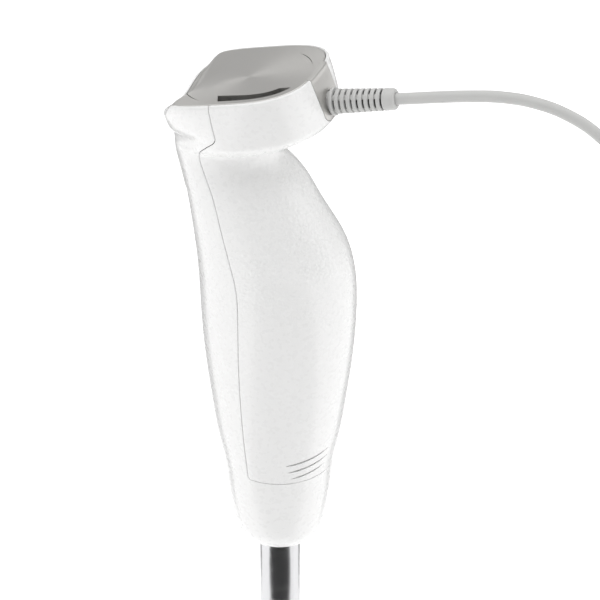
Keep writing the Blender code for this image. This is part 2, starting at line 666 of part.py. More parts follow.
def make_stator(axis):
    """Laminated ring with two poles, and a field coil round each pole."""
    low, high = (NOSE + h for h in STATOR)
    shape = loft([[Vector((x, y, z)) for x, y in rounded_outline(STATOR_X, STATOR_Y, 15.0, 5)]
                  for z in (low, high)])
    core = piece("stator_core", shape, "iron", axis)
    combine(core, cutter("rotor_bore", rod_shape(ROTOR_R + 0.5, low - 5, high + 5, 24), axis), "DIFFERENCE")
    for side in (-1, 1):
        slot = box_shape((-16.0, min(side * 13.0, side * 18.8), low - 5.0),
                         (16.0, max(side * 13.0, side * 18.8), high + 5.0))
        combine(core, cutter("coil_slot_%d" % side, slot, axis), "DIFFERENCE")
        hole = rod_shape(2.0, low - 5, high + 5, 12, (side * MOTOR_SCREW_X, 0.0))
        combine(core, cutter("screw_hole_%d" % side, hole, axis), "DIFFERENCE")
    for side, name in ((-1, "field_coil_right"), (1, "field_coil_left")):
        outer = [Vector((x, side * (16.4 + y), 0.0)) for x, y in rounded_outline(15.4, 2.0, 1.9, 3)]
        coil = loft([[p + Vector((0, 0, z)) for p in outer] for z in (low - 7.0, high + 7.0)])
        piece(name, coil, "copper", axis)


def make_rotor(axis):
    low, high = (NOSE + h for h in STATOR)
    shaft = turned([(SHAFT_R - 0.1, NOSE + 55.0), (SHAFT_R - 0.1, NOSE + 160.0)], 16, closed=False)
    piece("motor_shaft", shaft, "steel", axis)
    bore = SHAFT_R + 0.2
    count = 24                # eight slots, one at every third point of the outline
    rings = []
    for z in (low - 0.5, high + 0.5):
        outline = circle(ROTOR_R, z, count)
        for k in range(0, count, 3):
            outline[k] = Vector((outline[k].x * ROTOR_SLOT, outline[k].y * ROTOR_SLOT, z))
        rings.append(outline)
    rings += [circle(bore, high + 0.5, count), circle(bore, low - 0.5, count)]
    piece("rotor_core", loft(rings, closed=True), "iron", axis)
    ends = (("rotor_winding_lower", low - 9.0, low - 0.8), ("rotor_winding_upper", high + 0.8, high + 8.0))
    for name, a, b in ends:
        winding = turned([(12.0, a + 2.0), (12.0, b - 1.0), (10.5, b), (bore, b), (bore, a), (10.0, a)], 20)
        piece(name, winding, "copper", axis)
    commutator = tube_shape(8.0, bore, high + 8.4, high + 22.0, 24)
    piece("commutator", commutator, "copper", axis)


def make_fan(axis):
    """A flat disc with curved-back blades on its lower side, pressed on the motor shaft."""
    top = NOSE + 76.0
    hub = turned([(SHAFT_R + 0.2, top - 10.0), (6.0, top - 10.0), (6.0, top - 1.5), (22.5, top - 1.5),
                  (22.5, top), (SHAFT_R + 0.2, top)], 24)
    fan = piece("cooling_fan", hub, "nylon", axis)
    blades = 8
    for k in range(blades):
        blade = box_shape((5.0, -0.7, top - 9.0), (21.5, 0.7, top - 1.0))
        turn = Matrix.Rotation(2 * pi * k / blades, 4, "Z") @ Matrix.Rotation(radians(14.0), 4, "Z")
        bmesh.ops.transform(blade, matrix=turn, verts=blade.verts)
        combine(fan, cutter("fan_blade_%d" % k, blade, axis), "UNION")


def make_brackets(axis):
    """End brackets that hold the bearings, screwed to the stator through their feet."""
    for name, level, foot in (("lower_bracket", LOWER_BRACKET, STATOR[0] - 8.4),
                              ("upper_bracket", UPPER_BRACKET, STATOR[1] + 8.4)):
        z = NOSE + level
        up = 1 if level > foot else -1
        plate = box_shape((-26.0, -9.0, z), (26.0, 9.0, z + BRACKET_PLATE))
        bracket = piece(name, plate, "nylon", axis)
        hub = rod_shape(10.5, z - 1.0, z + BRACKET_PLATE + 1.0, 24)
        combine(bracket, cutter(name + "_hub", hub, axis), "UNION")
        foot_z = NOSE + (STATOR[0] if up < 0 else STATOR[1])
        for side in (-1, 1):
            x = side * MOTOR_SCREW_X
            low, high = sorted((foot_z + up * GAP, z + BRACKET_PLATE / 2))
            leg = box_shape((x - 3.8, -5.0, low), (x + 3.8, 5.0, high))
            combine(bracket, cutter("%s_leg_%d" % (name, side), leg, axis), "UNION")
        bore = rod_shape(BEARING_R + GAP, z - 20.0, z + 20.0, 24)
        combine(bracket, cutter(name + "_bore", bore, axis), "DIFFERENCE")
        for side in (-1, 1):
            hole = rod_shape(2.0, NOSE + 70.0, NOSE + 170.0, 12, (side * MOTOR_SCREW_X, 0.0))
            combine(bracket, cutter("%s_hole_%d" % (name, side), hole, axis), "DIFFERENCE")
        bearing = tube_shape(BEARING_R, SHAFT_R, z - 0.5, z + BRACKET_PLATE + 0.5, 24)
        piece(name.replace("bracket", "bearing"), bearing, "bronze", axis)
    for side, name in ((-1, "motor_screw_front"), (1, "motor_screw_rear")):
        low = NOSE + LOWER_BRACKET - 1.0
        high = NOSE + UPPER_BRACKET + BRACKET_PLATE + GAP
        screw = turned([(1.7, low), (1.7, high), (3.2, high), (3.0, high + 2.2)], 12,
                       (side * MOTOR_SCREW_X, 0.0), closed=False)
        piece(name, screw, "steel", axis)


def make_brushes(axis):
    """Carbon brushes in their boxes, one on each side of the commutator."""
    z = NOSE + STATOR[1] + 16.0
    half_x, half_z = BRUSH_HALF

    def block(side, near, far, grow):
        y0, y1 = sorted((side * near, side * far))
        return box_shape((-half_x - grow, y0, z - half_z - grow), (half_x + grow, y1, z + half_z + grow))
    for side, word in ((-1, "right"), (1, "left")):
        piece("carbon_brush_" + word, block(side, 8.0 + GAP, 15.5, 0.0), "carbon", axis)
        holder = piece("brush_holder_" + word, block(side, 10.5, 22.0, BRUSH_BOX_WALL), "bronze", axis)
        room = block(side, 5.0, 20.8, GAP)
        combine(holder, cutter("brush_room_" + word, room, axis), "DIFFERENCE")


def make_mounts(axis):
    """Rubber rings that hold the motor brackets clear of the shells and damp them."""
    for name, level, narrow in (("motor_mount_lower", LOWER_BRACKET, -1.0),
                                ("motor_mount_upper", UPPER_BRACKET, 4.0)):
        station = station_at(level + narrow)
        low, high = NOSE + level - 1.0, NOSE + level + 4.0
        inner_outline = rounded_outline(26.0 + GAP, 9.0 + GAP, 1.0, RING // 4 - 1)
        outer = level_ring(station, WALL + 0.8, low)
        rings = [outer, [p + Vector((0, 0, high - low)) for p in outer]]
        ring = piece(name, loft(rings), "rubber", axis)
        seat = loft([[Vector((x, y, z)) for x, y in inner_outline] for z in (low - 3.0, high + 3.0)])
        combine(ring, cutter(name + "_seat", seat, axis), "DIFFERENCE")
        hub = rod_shape(20.0, low - 3.0, high + 3.0, 28)
        combine(ring, cutter(name + "_hub_room", hub, axis), "DIFFERENCE")


def station_at(height):
    rows = smooth_row(STATIONS, 8)
    return min(rows, key=lambda row: abs((row[1] + row[3]) / 2 - height))


# ---------------------------------------------------------------- drive and arm

def dog_profile(count, radius, tooth, phase):
    """A round outline with the given number of square teeth standing out of it."""
    points = []
    for k in range(count * 4):
        r = radius + (tooth if k % 4 in (1, 2) else 0.0)
        angle = 2 * pi * (k + 0.5 * (k % 2 == 0)) / (count * 4) + phase
        points.append((r * cos(angle), r * sin(angle)))
    return points


def make_couplings(axis):
    """The motor's toothed plug sits in the arm's toothed cup."""
    plug = loft([[Vector((x, y, z)) for x, y in dog_profile(4, 4.2, 1.2, 0.0)]
                 for z in (NOSE + 47.0, NOSE + 60.0)])
    upper = piece("motor_coupling", plug, "nylon", axis)
    bore = rod_shape(SHAFT_R + 0.1, NOSE + 54.7, NOSE + 65.0, 16)
    combine(upper, cutter("motor_coupling_bore", bore, axis), "DIFFERENCE")

    cup = rod_shape(8.5, NOSE + 38.0, NOSE + 54.0, 24)
    lower = piece("arm_coupling", cup, "nylon", axis)
    room = loft([[Vector((x, y, z)) for x, y in dog_profile(4, 4.6, 1.2, 0.0)]
                 for z in (NOSE + 46.5, NOSE + 60.0)])
    combine(lower, cutter("arm_coupling_room", room, axis), "DIFFERENCE")
    bore = rod_shape(SHAFT_R + 0.2, NOSE + 30.0, NOSE + 44.3, 16)
    combine(lower, cutter("arm_coupling_bore", bore, axis), "DIFFERENCE")


def make_arm(axis):
    tube = tube_shape(TUBE_R, TUBE_R - TUBE_WALL, TUBE_FOOT, TUBE_HEAD, 32)
    piece("arm_tube", tube, "steel", axis)

    inner = TUBE_R + GAP
    profile = [(inner, NOSE + 4.4), (13.5, NOSE + 4.4), (16.8, NOSE + 8.0), (16.8, NOSE + 12.0),
               (13.5, NOSE + 13.0), (13.5, NOSE + 36.0), (6.0, NOSE + 36.0), (6.0, TUBE_HEAD + GAP),
               (inner, TUBE_HEAD + GAP)]
    collar = piece("arm_collar", turned(profile, 20), "nylon", axis)
    for side, name in ((-1, "collar_screw_right"), (1, "collar_screw_left")):
        screw = turned([(1.1, 0.0), (1.1, 4.5), (2.6, 4.5), (2.4, 6.0)], 12, closed=False)
        turn = Matrix.Translation(Vector((0.0, side * (TUBE_R + GAP + 0.2), NOSE + 24.0)))
        turn = turn @ Matrix.Rotation(-side * pi / 2, 4, "X")
        bmesh.ops.transform(screw, matrix=turn, verts=screw.verts)
        piece(name, screw, "steel", axis)
        hole = rod_shape(1.1 + GAP, -3.0, 8.0, 12)
        bmesh.ops.transform(hole, matrix=turn, verts=hole.verts)
        combine(collar, cutter(name + "_hole", hole, axis), "DIFFERENCE")

    bush = tube_shape(TUBE_R - TUBE_WALL - GAP, SHAFT_R + 0.05, NOSE + 18.0, NOSE + 29.0, 24)
    piece("upper_bush", bush, "bronze", axis)
    bush = tube_shape(TUBE_R - TUBE_WALL - GAP, SHAFT_R + 0.05, 47.0, 58.0, 24)
    piece("lower_bush", bush, "bronze", axis)
    seal = turned([(SHAFT_R + 0.1, 43.5), (5.5, 43.5), (TUBE_R - TUBE_WALL - GAP, 44.5),
                   (TUBE_R - TUBE_WALL - GAP, 46.6), (SHAFT_R + 0.1, 46.6)], 24)
    piece("shaft_seal", seal, "rubber", axis)


def make_bell(axis):
    """Steel bell with three arched windows in its skirt, welded round the foot of the tube."""
    wall = BELL_WALL
    neck = TUBE_R + GAP
    outer = [(BELL_R, 0.0), (BELL_R, 6.0), (BELL_R - 0.6, 16.0), (BELL_R - 2.6, 24.0),
             (BELL_R - 6.6, 31.0), (BELL_R - 12.5, 36.5), (neck + 3.6, 40.5), (neck + 1.6, 45.0),
             (neck + wall, BELL_HEIGHT)]
    inner = [(neck, BELL_HEIGHT), (neck, TUBE_FOOT - GAP), (neck + 1.4, 39.6), (BELL_R - 13.2, 35.2),
             (BELL_R - 7.6, 29.9), (BELL_R - 3.8, 23.3), (BELL_R - 1.9, 15.6), (BELL_R - wall, 6.0),
             (BELL_R - wall, 0.0)]
    bell = piece("bell_guard", turned(outer + inner, 32), "steel", axis)
    for k in range(3):
        width, top = 11.0, 14.0
        arch = [(-width, -5.0), (width, -5.0)]
        arch += [(width * cos(a), top - 7.0 + 7.0 * sin(a)) for a in (j * pi / 8 for j in range(9))]
        outline = [(15.0, y, z) for y, z in arch]
        window = prism(outline, (1, 0, 0), 0.0, 30.0)
        bmesh.ops.rotate(window, verts=window.verts, cent=(0, 0, 0),
                         matrix=Matrix.Rotation(radians(120.0 * k), 3, "Z"))
        combine(bell, cutter("bell_window_%d" % k, window, axis), "DIFFERENCE")


def make_blade(axis):
    """Drive shaft, hub, blade with two wings, and the nut that holds it."""
    shaft = turned([(2.0, 10.0), (2.0, 17.6), (SHAFT_R, 17.6), (SHAFT_R, NOSE + 44.0)], 16, closed=False)
    piece("drive_shaft", shaft, "steel", axis)
    hub = turned([(2.3, 15.6), (5.5, 15.6), (5.5, 17.0), (4.6, 24.0), (SHAFT_R + 0.2, 24.0),
                  (SHAFT_R + 0.2, 17.3), (2.3, 17.3)], 20)
    piece("blade_hub", hub, "steel", axis)

    shape = bmesh.new()
    thick = 1.3
    rise = 4.0
    outline = [(4.5, -4.2, 0.0), (12.0, -4.6, 0.0), (16.5, -3.2, rise * 0.55), (23.0, 0.6, rise),
               (22.0, 3.4, rise), (14.5, 3.8, rise * 0.5), (9.0, 4.4, 0.0), (4.5, 4.2, 0.0)]
    right = [Vector((x, y, z)) for x, y, z in outline]
    left = [Vector((-x, -y, z * -0.55)) for x, y, z in outline]
    loop = right + left
    top = [shape.verts.new(p + Vector((0.0, 0.0, 15.2))) for p in loop]
    low = [shape.verts.new(p + Vector((0.0, 0.0, 15.2 - thick))) for p in loop]
    count = len(loop)
    half = count // 2

    def strip(row, flip):
        quads = [(row[a], row[a + 1], row[half - 2 - a], row[half - 1 - a]) for a in range(half // 2 - 1)]
        quads += [tuple(row[half + i % half] for i in (a, a + 1, half - 2 - a, half - 1 - a))
                  for a in range(half // 2 - 1)]
        quads.append((row[0], row[half - 1], row[half], row[count - 1]))
        for quad in quads:
            shape.faces.new(quad[::-1] if flip else quad)
    strip(top, False)
    strip(low, True)
    for k in range(count):
        after = (k + 1) % count
        shape.faces.new((top[k], low[k], low[after], top[after]))
    blade = piece("blade", shape, "steel", axis)
    combine(blade, cutter("blade_bore", rod_shape(2.0 + GAP, 5.0, 20.0, 16), axis), "DIFFERENCE")
    nut = loft([circle(4.2, 10.2, 6), circle(4.2, 13.5, 6)])
    nut = piece("blade_nut", nut, "steel", axis)
    combine(nut, cutter("nut_bore", rod_shape(2.0 + GAP, 5.0, 20.0, 16), axis), "DIFFERENCE")


def build():
    clear_scene()
    axis = empty("shaft_axis", (SHAFT_X, 0.0, 0.0))
    make_shells(axis)
    make_cap(axis)
    make_button(axis)
    make_switch(axis)
    make_strain_relief(axis)
    make_cord(axis)
    make_plug(axis)
    make_cord_clamp(axis)
    make_leads(axis)
    make_stator(axis)
    make_rotor(axis)
    make_fan(axis)
    make_brackets(axis)
    make_brushes(axis)
    make_mounts(axis)
    make_couplings(axis)
    make_arm(axis)
    make_bell(axis)
    make_blade(axis)


build()
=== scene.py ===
"""The looks of the immersion blender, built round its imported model.

Points are written in millimetres with the drive shaft's axis at x = 0, y = 0, X towards the rear, where
the cord leaves, and Z up from the surface that the bell stands on. Heights of the handle are counted
from NOSE. to_frame() carries them to the shared frame in metres.
"""

import json
from math import atan2, ceil, cos, pi, radians, sin, sqrt

import bmesh
import bpy
import numpy as np
from mathutils import Matrix, Vector
from mathutils.bvhtree import BVHTree

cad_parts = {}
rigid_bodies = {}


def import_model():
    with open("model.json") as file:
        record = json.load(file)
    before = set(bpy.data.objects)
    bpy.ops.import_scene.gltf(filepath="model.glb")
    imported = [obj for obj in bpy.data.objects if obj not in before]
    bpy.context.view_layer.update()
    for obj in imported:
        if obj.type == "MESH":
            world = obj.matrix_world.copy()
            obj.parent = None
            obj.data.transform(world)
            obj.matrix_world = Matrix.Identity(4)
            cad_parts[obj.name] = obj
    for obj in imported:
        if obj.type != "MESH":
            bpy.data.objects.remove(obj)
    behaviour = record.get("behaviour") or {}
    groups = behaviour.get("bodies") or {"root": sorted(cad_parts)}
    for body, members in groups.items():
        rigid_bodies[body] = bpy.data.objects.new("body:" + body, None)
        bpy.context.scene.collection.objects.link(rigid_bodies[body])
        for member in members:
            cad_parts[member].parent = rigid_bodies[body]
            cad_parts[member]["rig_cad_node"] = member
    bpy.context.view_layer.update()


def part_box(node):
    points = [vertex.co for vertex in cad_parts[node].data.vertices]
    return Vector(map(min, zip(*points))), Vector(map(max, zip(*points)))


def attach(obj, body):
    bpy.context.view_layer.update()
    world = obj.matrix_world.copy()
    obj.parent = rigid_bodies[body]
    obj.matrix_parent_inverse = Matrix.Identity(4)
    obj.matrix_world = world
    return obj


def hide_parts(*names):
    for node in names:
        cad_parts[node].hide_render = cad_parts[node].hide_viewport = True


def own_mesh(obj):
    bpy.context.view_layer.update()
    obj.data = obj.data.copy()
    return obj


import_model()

MM = 0.001
TUBE_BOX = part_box("arm_tube")
SHAFT = Vector(((TUBE_BOX[0].x + TUBE_BOX[1].x) / 2, (TUBE_BOX[0].y + TUBE_BOX[1].y) / 2, 0.0)) / MM
NOSE = 175.0
PARTING = 45.7            # above the nose: the joint between nose and rear shell
WALL = 2.2
GAP = 0.3
TUBE_R = 9.8
CAP_THICK = 2.5
LIP = 1.5
CAP_MIDDLE = (-12.0, -2.0)
CORD_R = 2.5
ACROSS = Vector((0, 1, 0))
VIEW_AZIMUTH = radians(20.0)
STUDIO = 6.0              # metres from the middle to the backdrop
FLOOR_Z = -0.0006         # metres: just under the bell and the cord

# Stations of the handle: front point (x, height), rear point (x, height), half widths at the side and
# at the front corners, and how square the front and rear halves are (2 is an ellipse).
STATIONS = [(-r, h, r, h, r, r, 2.0, 2.0)
            for r, h in ((12.6, 1.6), (16.6, 2.6), (19.6, 6.2), (21.9, 14.5), (23.8, 28.0))]
STATIONS += [
    (-25.8, PARTING, 25.6, PARTING, 25.7, 25.7, 2.0, 2.0),
    (-28.8, 60.0, 28.3, 60.0, 26.8, 26.8, 2.0, 2.0),
    (-32.1, 82.0, 31.6, 82.0, 28.1, 28.1, 2.0, 2.0),
    (-34.6, 104.0, 34.3, 104.0, 29.2, 29.2, 2.0, 2.0),
    (-35.9, 126.0, 35.7, 126.0, 29.9, 29.9, 2.0, 2.0),
    (-36.7, 146.0, 35.1, 146.0, 29.7, 29.7, 2.0, 2.0),
    (-38.0, 163.0, 30.4, 163.0, 28.4, 28.4, 2.1, 2.0),
    (-40.4, 180.0, 19.6, 180.0, 26.0, 26.0, 2.1, 2.0),
    (-43.2, 195.0, 8.6, 196.5, 22.6, 22.6, 2.2, 2.0),
    (-45.3, 203.0, 1.6, 206.5, 21.0, 20.8, 2.3, 2.0),
    (-45.8, 206.0, 3.8, 211.8, 21.8, 21.2, 2.4, 2.1),
    (-45.9, 208.0, 12.0, 216.2, 25.0, 21.8, 2.5, 2.2),
    (-45.8, 209.6, 21.3, 221.0, 28.3, 22.5, 2.6, 2.3),
    (-45.7, 211.4, 25.3, 225.4, 30.0, 23.4, 2.7, 2.4),
    (-45.6, 214.0, 25.5, 229.0, 30.5, 24.5, 2.9, 2.5),
    (-45.5, 218.0, 22.6, 238.0, 31.3, 27.6, 3.5, 2.8),
    (-45.4, 232.4, 19.3, 247.1, 31.8, 31.8, 4.2, 3.0),
]
RIM = STATIONS[-1]
SEAM = [
    (-19.6, 252.0), (-19.2, 238.2), (-17.3, 226.0), (-16.8, 222.6), (-18.2, 220.0), (-22.2, 216.4),
    (-26.9, 211.3), (-28.2, 206.8), (-26.6, 201.0), (-21.2, 189.3), (-17.0, 176.0), (-12.6, 161.3),
    (-9.6, 150.2), (-8.5, 138.0), (-8.7, 104.0), (-7.9, 74.0), (-6.2, PARTING + 1.4),
]

RELIEF_BASE = (24.0, 233.3)
RELIEF_TILT = radians(12.0)
RELIEF_LENGTH = 30.0
RELIEF_RIBS = 9
RELIEF_FOOT = 2.6         # how far out the first rib starts
RELIEF_PITCH = 2.65
RELIEF_TIP = RELIEF_FOOT + RELIEF_RIBS * RELIEF_PITCH
COIL_CENTRE = (92.0, -30.6)
PLUG_AT = Vector((92.0, -52.6, 17.4))
CORD_ROUTE = [
    (78.0, 0.0, 419.8), (97.0, 0.3, 422.8), (114.0, 1.0, 422.2), (130.0, 2.0, 417.2),
    (144.0, 3.2, 407.4), (155.0, 4.4, 392.5), (162.5, 5.6, 373.0), (166.5, 6.6, 348.0),
    (168.5, 7.4, 310.0), (169.0, 7.6, 260.0), (168.6, 7.0, 200.0), (168.0, 5.8, 140.0),
    (167.0, 4.4, 90.0), (165.0, 3.2, 56.0), (159.4, 2.0, 28.0), (148.4, 1.0, 10.6),
    (134.5, 0.3, 4.6), (121.0, 0.0, 3.2), (COIL_CENTRE[0] + 18.6, 0.0, 2.9),
]
# The coil: (ring angle in degrees, radius, height) where the winding changes
COIL = [
    (90, 30.65, 2.9), (350, 30.65, 2.9), (420, 25.35, 2.9), (645, 25.35, 2.9), (715, 25.35, 8.1),
    (935, 25.35, 8.1), (1005, 30.65, 8.1), (1215, 30.65, 8.1), (1262, 30.3, 10.6), (1288, 29.4, 13.6),
]


def to_frame(p):
    return (Vector(p) + SHAFT) * MM


def add_object(name, data):
    made = bpy.data.objects.new(name, data)
    bpy.context.scene.collection.objects.link(made)
    return made


# ---- camera

def make_camera():
    """A long lens, twenty degrees towards the rear from the right side, looking down on the handle."""
    pitch, distance = radians(31.5), 1055.6
    back = Vector((sin(VIEW_AZIMUTH) * cos(pitch), -cos(VIEW_AZIMUTH) * cos(pitch), sin(pitch)))
    right = Vector((cos(VIEW_AZIMUTH), sin(VIEW_AZIMUTH), 0.0))
    aim = Vector((0.0, 0.0, NOSE + 129.5)) + right * 9.6
    data = bpy.data.cameras.new("camera")
    data.sensor_width = 36.0
    data.lens = 140.6
    data.clip_end = 20.0
    made = add_object("camera", data)
    made.location = to_frame(aim + back * distance)
    made.rotation_euler = (-back).to_track_quat("-Z", "Y").to_euler()
    bpy.context.scene.camera = made


# ---- shapes

def smooth_row(rows, steps):
    """A Catmull-Rom curve through rows of numbers, with the given steps between two rows."""
    last = len(rows) - 1
    made = []
    for i in range(last):
        four = [rows[max(0, min(last, i + k))] for k in (-1, 0, 1, 2)]
        for s in range(steps):
            t = s / steps
            made.append(tuple(
                0.5 * (2 * b + (c - a) * t + (2 * a - 5 * b + 4 * c - d) * t ** 2
                       + (3 * b - a - 3 * c + d) * t ** 3)
                for a, b, c, d in zip(*four)))
    made.append(tuple(rows[last]))
    return made


def spread_evenly(points, count):
    """The same polyline with points at equal distances."""
    points = [Vector(p) for p in points]
    travelled = [0.0]
    for a, b in zip(points, points[1:]):
        travelled.append(travelled[-1] + (b - a).length)
    made = []
    leg = 0
    for k in range(count):
        goal = travelled[-1] * k / (count - 1)
        while leg < len(points) - 2 and travelled[leg + 1] < goal:
            leg += 1
        span = travelled[leg + 1] - travelled[leg]
        made.append(points[leg].lerp(points[leg + 1], (goal - travelled[leg]) / span))
    return made


def relief_frame(distance=0.0):
    """A point on the strain relief's axis, the distance out from the head's wall."""
    x, h = RELIEF_BASE
    return Vector((x + distance * cos(RELIEF_TILT), 0.0, NOSE + h + distance * sin(RELIEF_TILT)))


def cord_points():
    """Out of the strain relief, over and down outside the view, round the coil and up to the plug."""
    start = [relief_frame(d) for d in (20.0, 26.0, 38.0)]
    free = spread_evenly(smooth_row([tuple(p) for p in start] + CORD_ROUTE, 16), 40)
    turns = []
    for (a0, r0, z0), (a1, r1, z1) in zip(COIL, COIL[1:]):
        steps = max(2, round((a1 - a0) / 26.0))
        for k in range(steps):
            t = k / steps
            soft = t * t * (3 - 2 * t)
            a = radians(a0 + (a1 - a0) * t)
            r = r0 + (r1 - r0) * soft
            turns.append(Vector((COIL_CENTRE[0] + r * cos(a), COIL_CENTRE[1] + r * sin(a),
                                 z0 + (z1 - z0) * soft)))
    end = [(67.4, -47.3, 15.9), (70.6, -50.9, 17.0), (75.5, -52.5, 17.4), (82.0, -52.6, 17.4)]
    return free[:-1] + turns[1:] + [Vector(p) for p in end]


def make_cord():
    points = cord_points()
    curve = bpy.data.curves.new("power_cord_line", "CURVE")
    curve.dimensions = "3D"
    curve.bevel_depth = 1.0
    curve.bevel_resolution = 6
    curve.resolution_u = 8
    curve.use_fill_caps = True
    line = curve.splines.new("BEZIER")
    line.bezier_points.add(len(points) - 1)
    for place, point in zip(line.bezier_points, points):
        place.co = to_frame(point)
        place.radius = CORD_R * MM
        place.handle_left_type = "AUTO"
        place.handle_right_type = "AUTO"
    return add_object("power_cord_line", curve)


# ---- materials

class Finish:
    """A node material whose patterns are laid out in the object's own metres."""

    def __init__(self, name, colour, rough, metallic=0.0, **sockets):
        self.material = bpy.data.materials.new(name)
        self.material.use_nodes = True
        self.tree = self.material.node_tree
        self.shader = self.tree.nodes["Principled BSDF"]
        self.colour = colour
        self.set(self.shader, **{"Base Color": (*colour, 1.0), "Roughness": rough, "Metallic": metallic})
        self.set(self.shader, **sockets)
        self.material.diffuse_color = (*colour, 1.0)
        self.place = self.add("ShaderNodeTexCoord").outputs["Object"]
        self.height = None

    def set(self, node, **values):
        for socket, value in values.items():
            node.inputs[socket.replace("_", " ")].default_value = value

    def add(self, kind, **links):
        node = self.tree.nodes.new(kind)
        for socket, source in links.items():
            self.feed(node, socket.replace("_", " "), source)
        return node

    def feed(self, node, socket, source):
        if isinstance(source, (int, float)):
            node.inputs[socket].default_value = source
        else:
            self.tree.links.new(source, node.inputs[socket])

    def maths(self, operation, a, b=0.0, c=0.0):
        node = self.add("ShaderNodeMath")
        node.operation = operation
        for k, source in enumerate((a, b, c)):
            self.feed(node, k, source)
        return node.outputs[0]

    def spread(self, source, low, high, to_low=0.0, to_high=1.0):
        node = self.add("ShaderNodeMapRange", Value=source)
        self.set(node, **{"From Min": low, "From Max": high, "To Min": to_low, "To Max": to_high})
        return node.outputs["Result"]

    def stretched(self, x, y, z):
        node = self.add("ShaderNodeMapping", Vector=self.place)
        node.inputs["Scale"].default_value = (x, y, z)
        return node.outputs["Vector"]

    def noise(self, scale, detail=3.0, rough=0.5, place=None):
        node = self.add("ShaderNodeTexNoise", Vector=place or self.place)
        self.set(node, Scale=scale, Detail=detail, Roughness=rough)
        return node.outputs["Fac"]

    def vary_colour(self, source, darker=0.94, lighter=1.03):
        node = self.add("ShaderNodeMix", Factor=source)
        node.data_type = "RGBA"
        node.inputs[6].default_value = (*[min(1.0, c * darker) for c in self.colour], 1.0)
        node.inputs[7].default_value = (*[min(1.0, c * lighter) for c in self.colour], 1.0)
        self.tree.links.new(node.outputs[2], self.shader.inputs["Base Color"])
        return node

    def vary_roughness(self, source, low, high, inside=(0.3, 0.7)):
        self.feed(self.shader, "Roughness", self.spread(source, inside[0], inside[1], low, high))

    def bump(self, source, distance, strength=1.0):
        """Add relief of the given depth in millimetres."""
        node = self.add("ShaderNodeBump", Height=source)
        self.set(node, Distance=distance * MM, Strength=strength)
        if self.height:
            self.tree.links.new(self.height, node.inputs["Normal"])
        self.height = node.outputs["Normal"]
        self.tree.links.new(self.height, self.shader.inputs["Normal"])


def split(finish, place=None):
    return finish.add("ShaderNodeSeparateXYZ", Vector=place or finish.place).outputs


def white_plastic():
    """Glossy white plastic with a faint orange peel, and fine pebbles where the hand grips."""
    made = Finish("gloss_white_plastic", (0.86, 0.86, 0.855), 0.27, IOR=1.5, Coat_Weight=0.25,
                  Coat_Roughness=0.12)
    made.vary_colour(made.noise(35.0, 4.0), 0.99, 1.005)
    made.vary_roughness(made.noise(400.0, 4.0), 0.26, 0.30)
    made.bump(made.noise(420.0, 2.0), 0.006, 0.2)
    x, y, z = split(made)
    band = made.maths("MULTIPLY", made.spread(z, 0.292, 0.335), made.spread(z, 0.384, 0.372))
    rear = made.spread(x, -0.020, 0.004)
    uneven = made.spread(made.noise(60.0, 2.0), 0.35, 0.6, 0.45, 1.0)
    where = made.maths("MULTIPLY", made.maths("MULTIPLY", band, rear), uneven)
    pebble = made.add("ShaderNodeTexVoronoi", Vector=made.place)
    pebble.feature = "SMOOTH_F1"
    made.set(pebble, Scale=640.0, Smoothness=0.4, Randomness=1.0)
    dome = made.maths("MULTIPLY", made.maths("SUBTRACT", 0.9, pebble.outputs["Distance"]), where)
    made.bump(dome, 0.3, 1.0)
    return made.material


def cap_metal():
    """Spun satin metal: fine rings round the cap's middle, bright in a bow tie."""
    made = Finish("spun_satin_cap", (0.62, 0.61, 0.59), 0.38, 0.9, Anisotropic=0.6)
    offset = made.add("ShaderNodeVectorMath", Vector=made.place)
    offset.operation = "SUBTRACT"
    offset.inputs[1].default_value = to_frame((*CAP_MIDDLE, 0.0))
    x, y, z = split(made, offset.outputs[0])
    radius = made.maths("SQRT", made.maths("ADD", made.maths("MULTIPLY", x, x), made.maths("MULTIPLY", y, y)))
    angle = made.maths("ARCTAN2", y, x)
    lines = made.add("ShaderNodeCombineXYZ", X=made.maths("MULTIPLY", radius, 9000.0),
                     Y=made.maths("MULTIPLY", angle, 2.2), Z=made.maths("MULTIPLY", z, 60.0)).outputs[0]
    brushed = made.noise(1.0, 3.0, 0.6, lines)
    made.vary_colour(brushed, 0.90, 1.09)
    made.vary_roughness(brushed, 0.31, 0.45)
    made.bump(brushed, 0.012, 0.6)
    made.bump(made.noise(90.0, 2.0), 0.05, 0.25)
    tangent = made.add("ShaderNodeCombineXYZ", X=made.maths("MULTIPLY", y, -1.0), Y=x, Z=0.0).outputs[0]
    unit = made.add("ShaderNodeVectorMath", Vector=tangent)
    unit.operation = "NORMALIZE"
    made.tree.links.new(unit.outputs[0], made.shader.inputs["Tangent"])
    return made.material


def soft_plastic(name, colour, rough, scale=900.0, depth=0.03):
    """Satin moulded plastic or rubber with a fine spark-eroded grain."""
    made = Finish(name, colour, rough)
    made.vary_colour(made.noise(scale * 0.06, 4.0), 0.95, 1.04)
    made.vary_roughness(made.noise(scale * 0.3, 4.0), rough - 0.06, rough + 0.08)
    made.bump(made.noise(scale, 3.0, 0.6), depth, 0.6)
    return made.material


def steel(name, colour, rough, grain=(30.0, 30.0, 30.0), depth=0.004):
    """Polished or ground steel; the grain runs along the axis whose number is smallest."""
    made = Finish(name, colour, rough, 1.0)
    lines = made.noise(40.0, 4.0, 0.6, made.stretched(*grain))
    made.vary_colour(made.noise(25.0, 3.0), 0.96, 1.03)
    made.vary_roughness(lines, max(0.03, rough - 0.04), rough + 0.07)
    made.bump(lines, depth, 0.5)
    return made.material


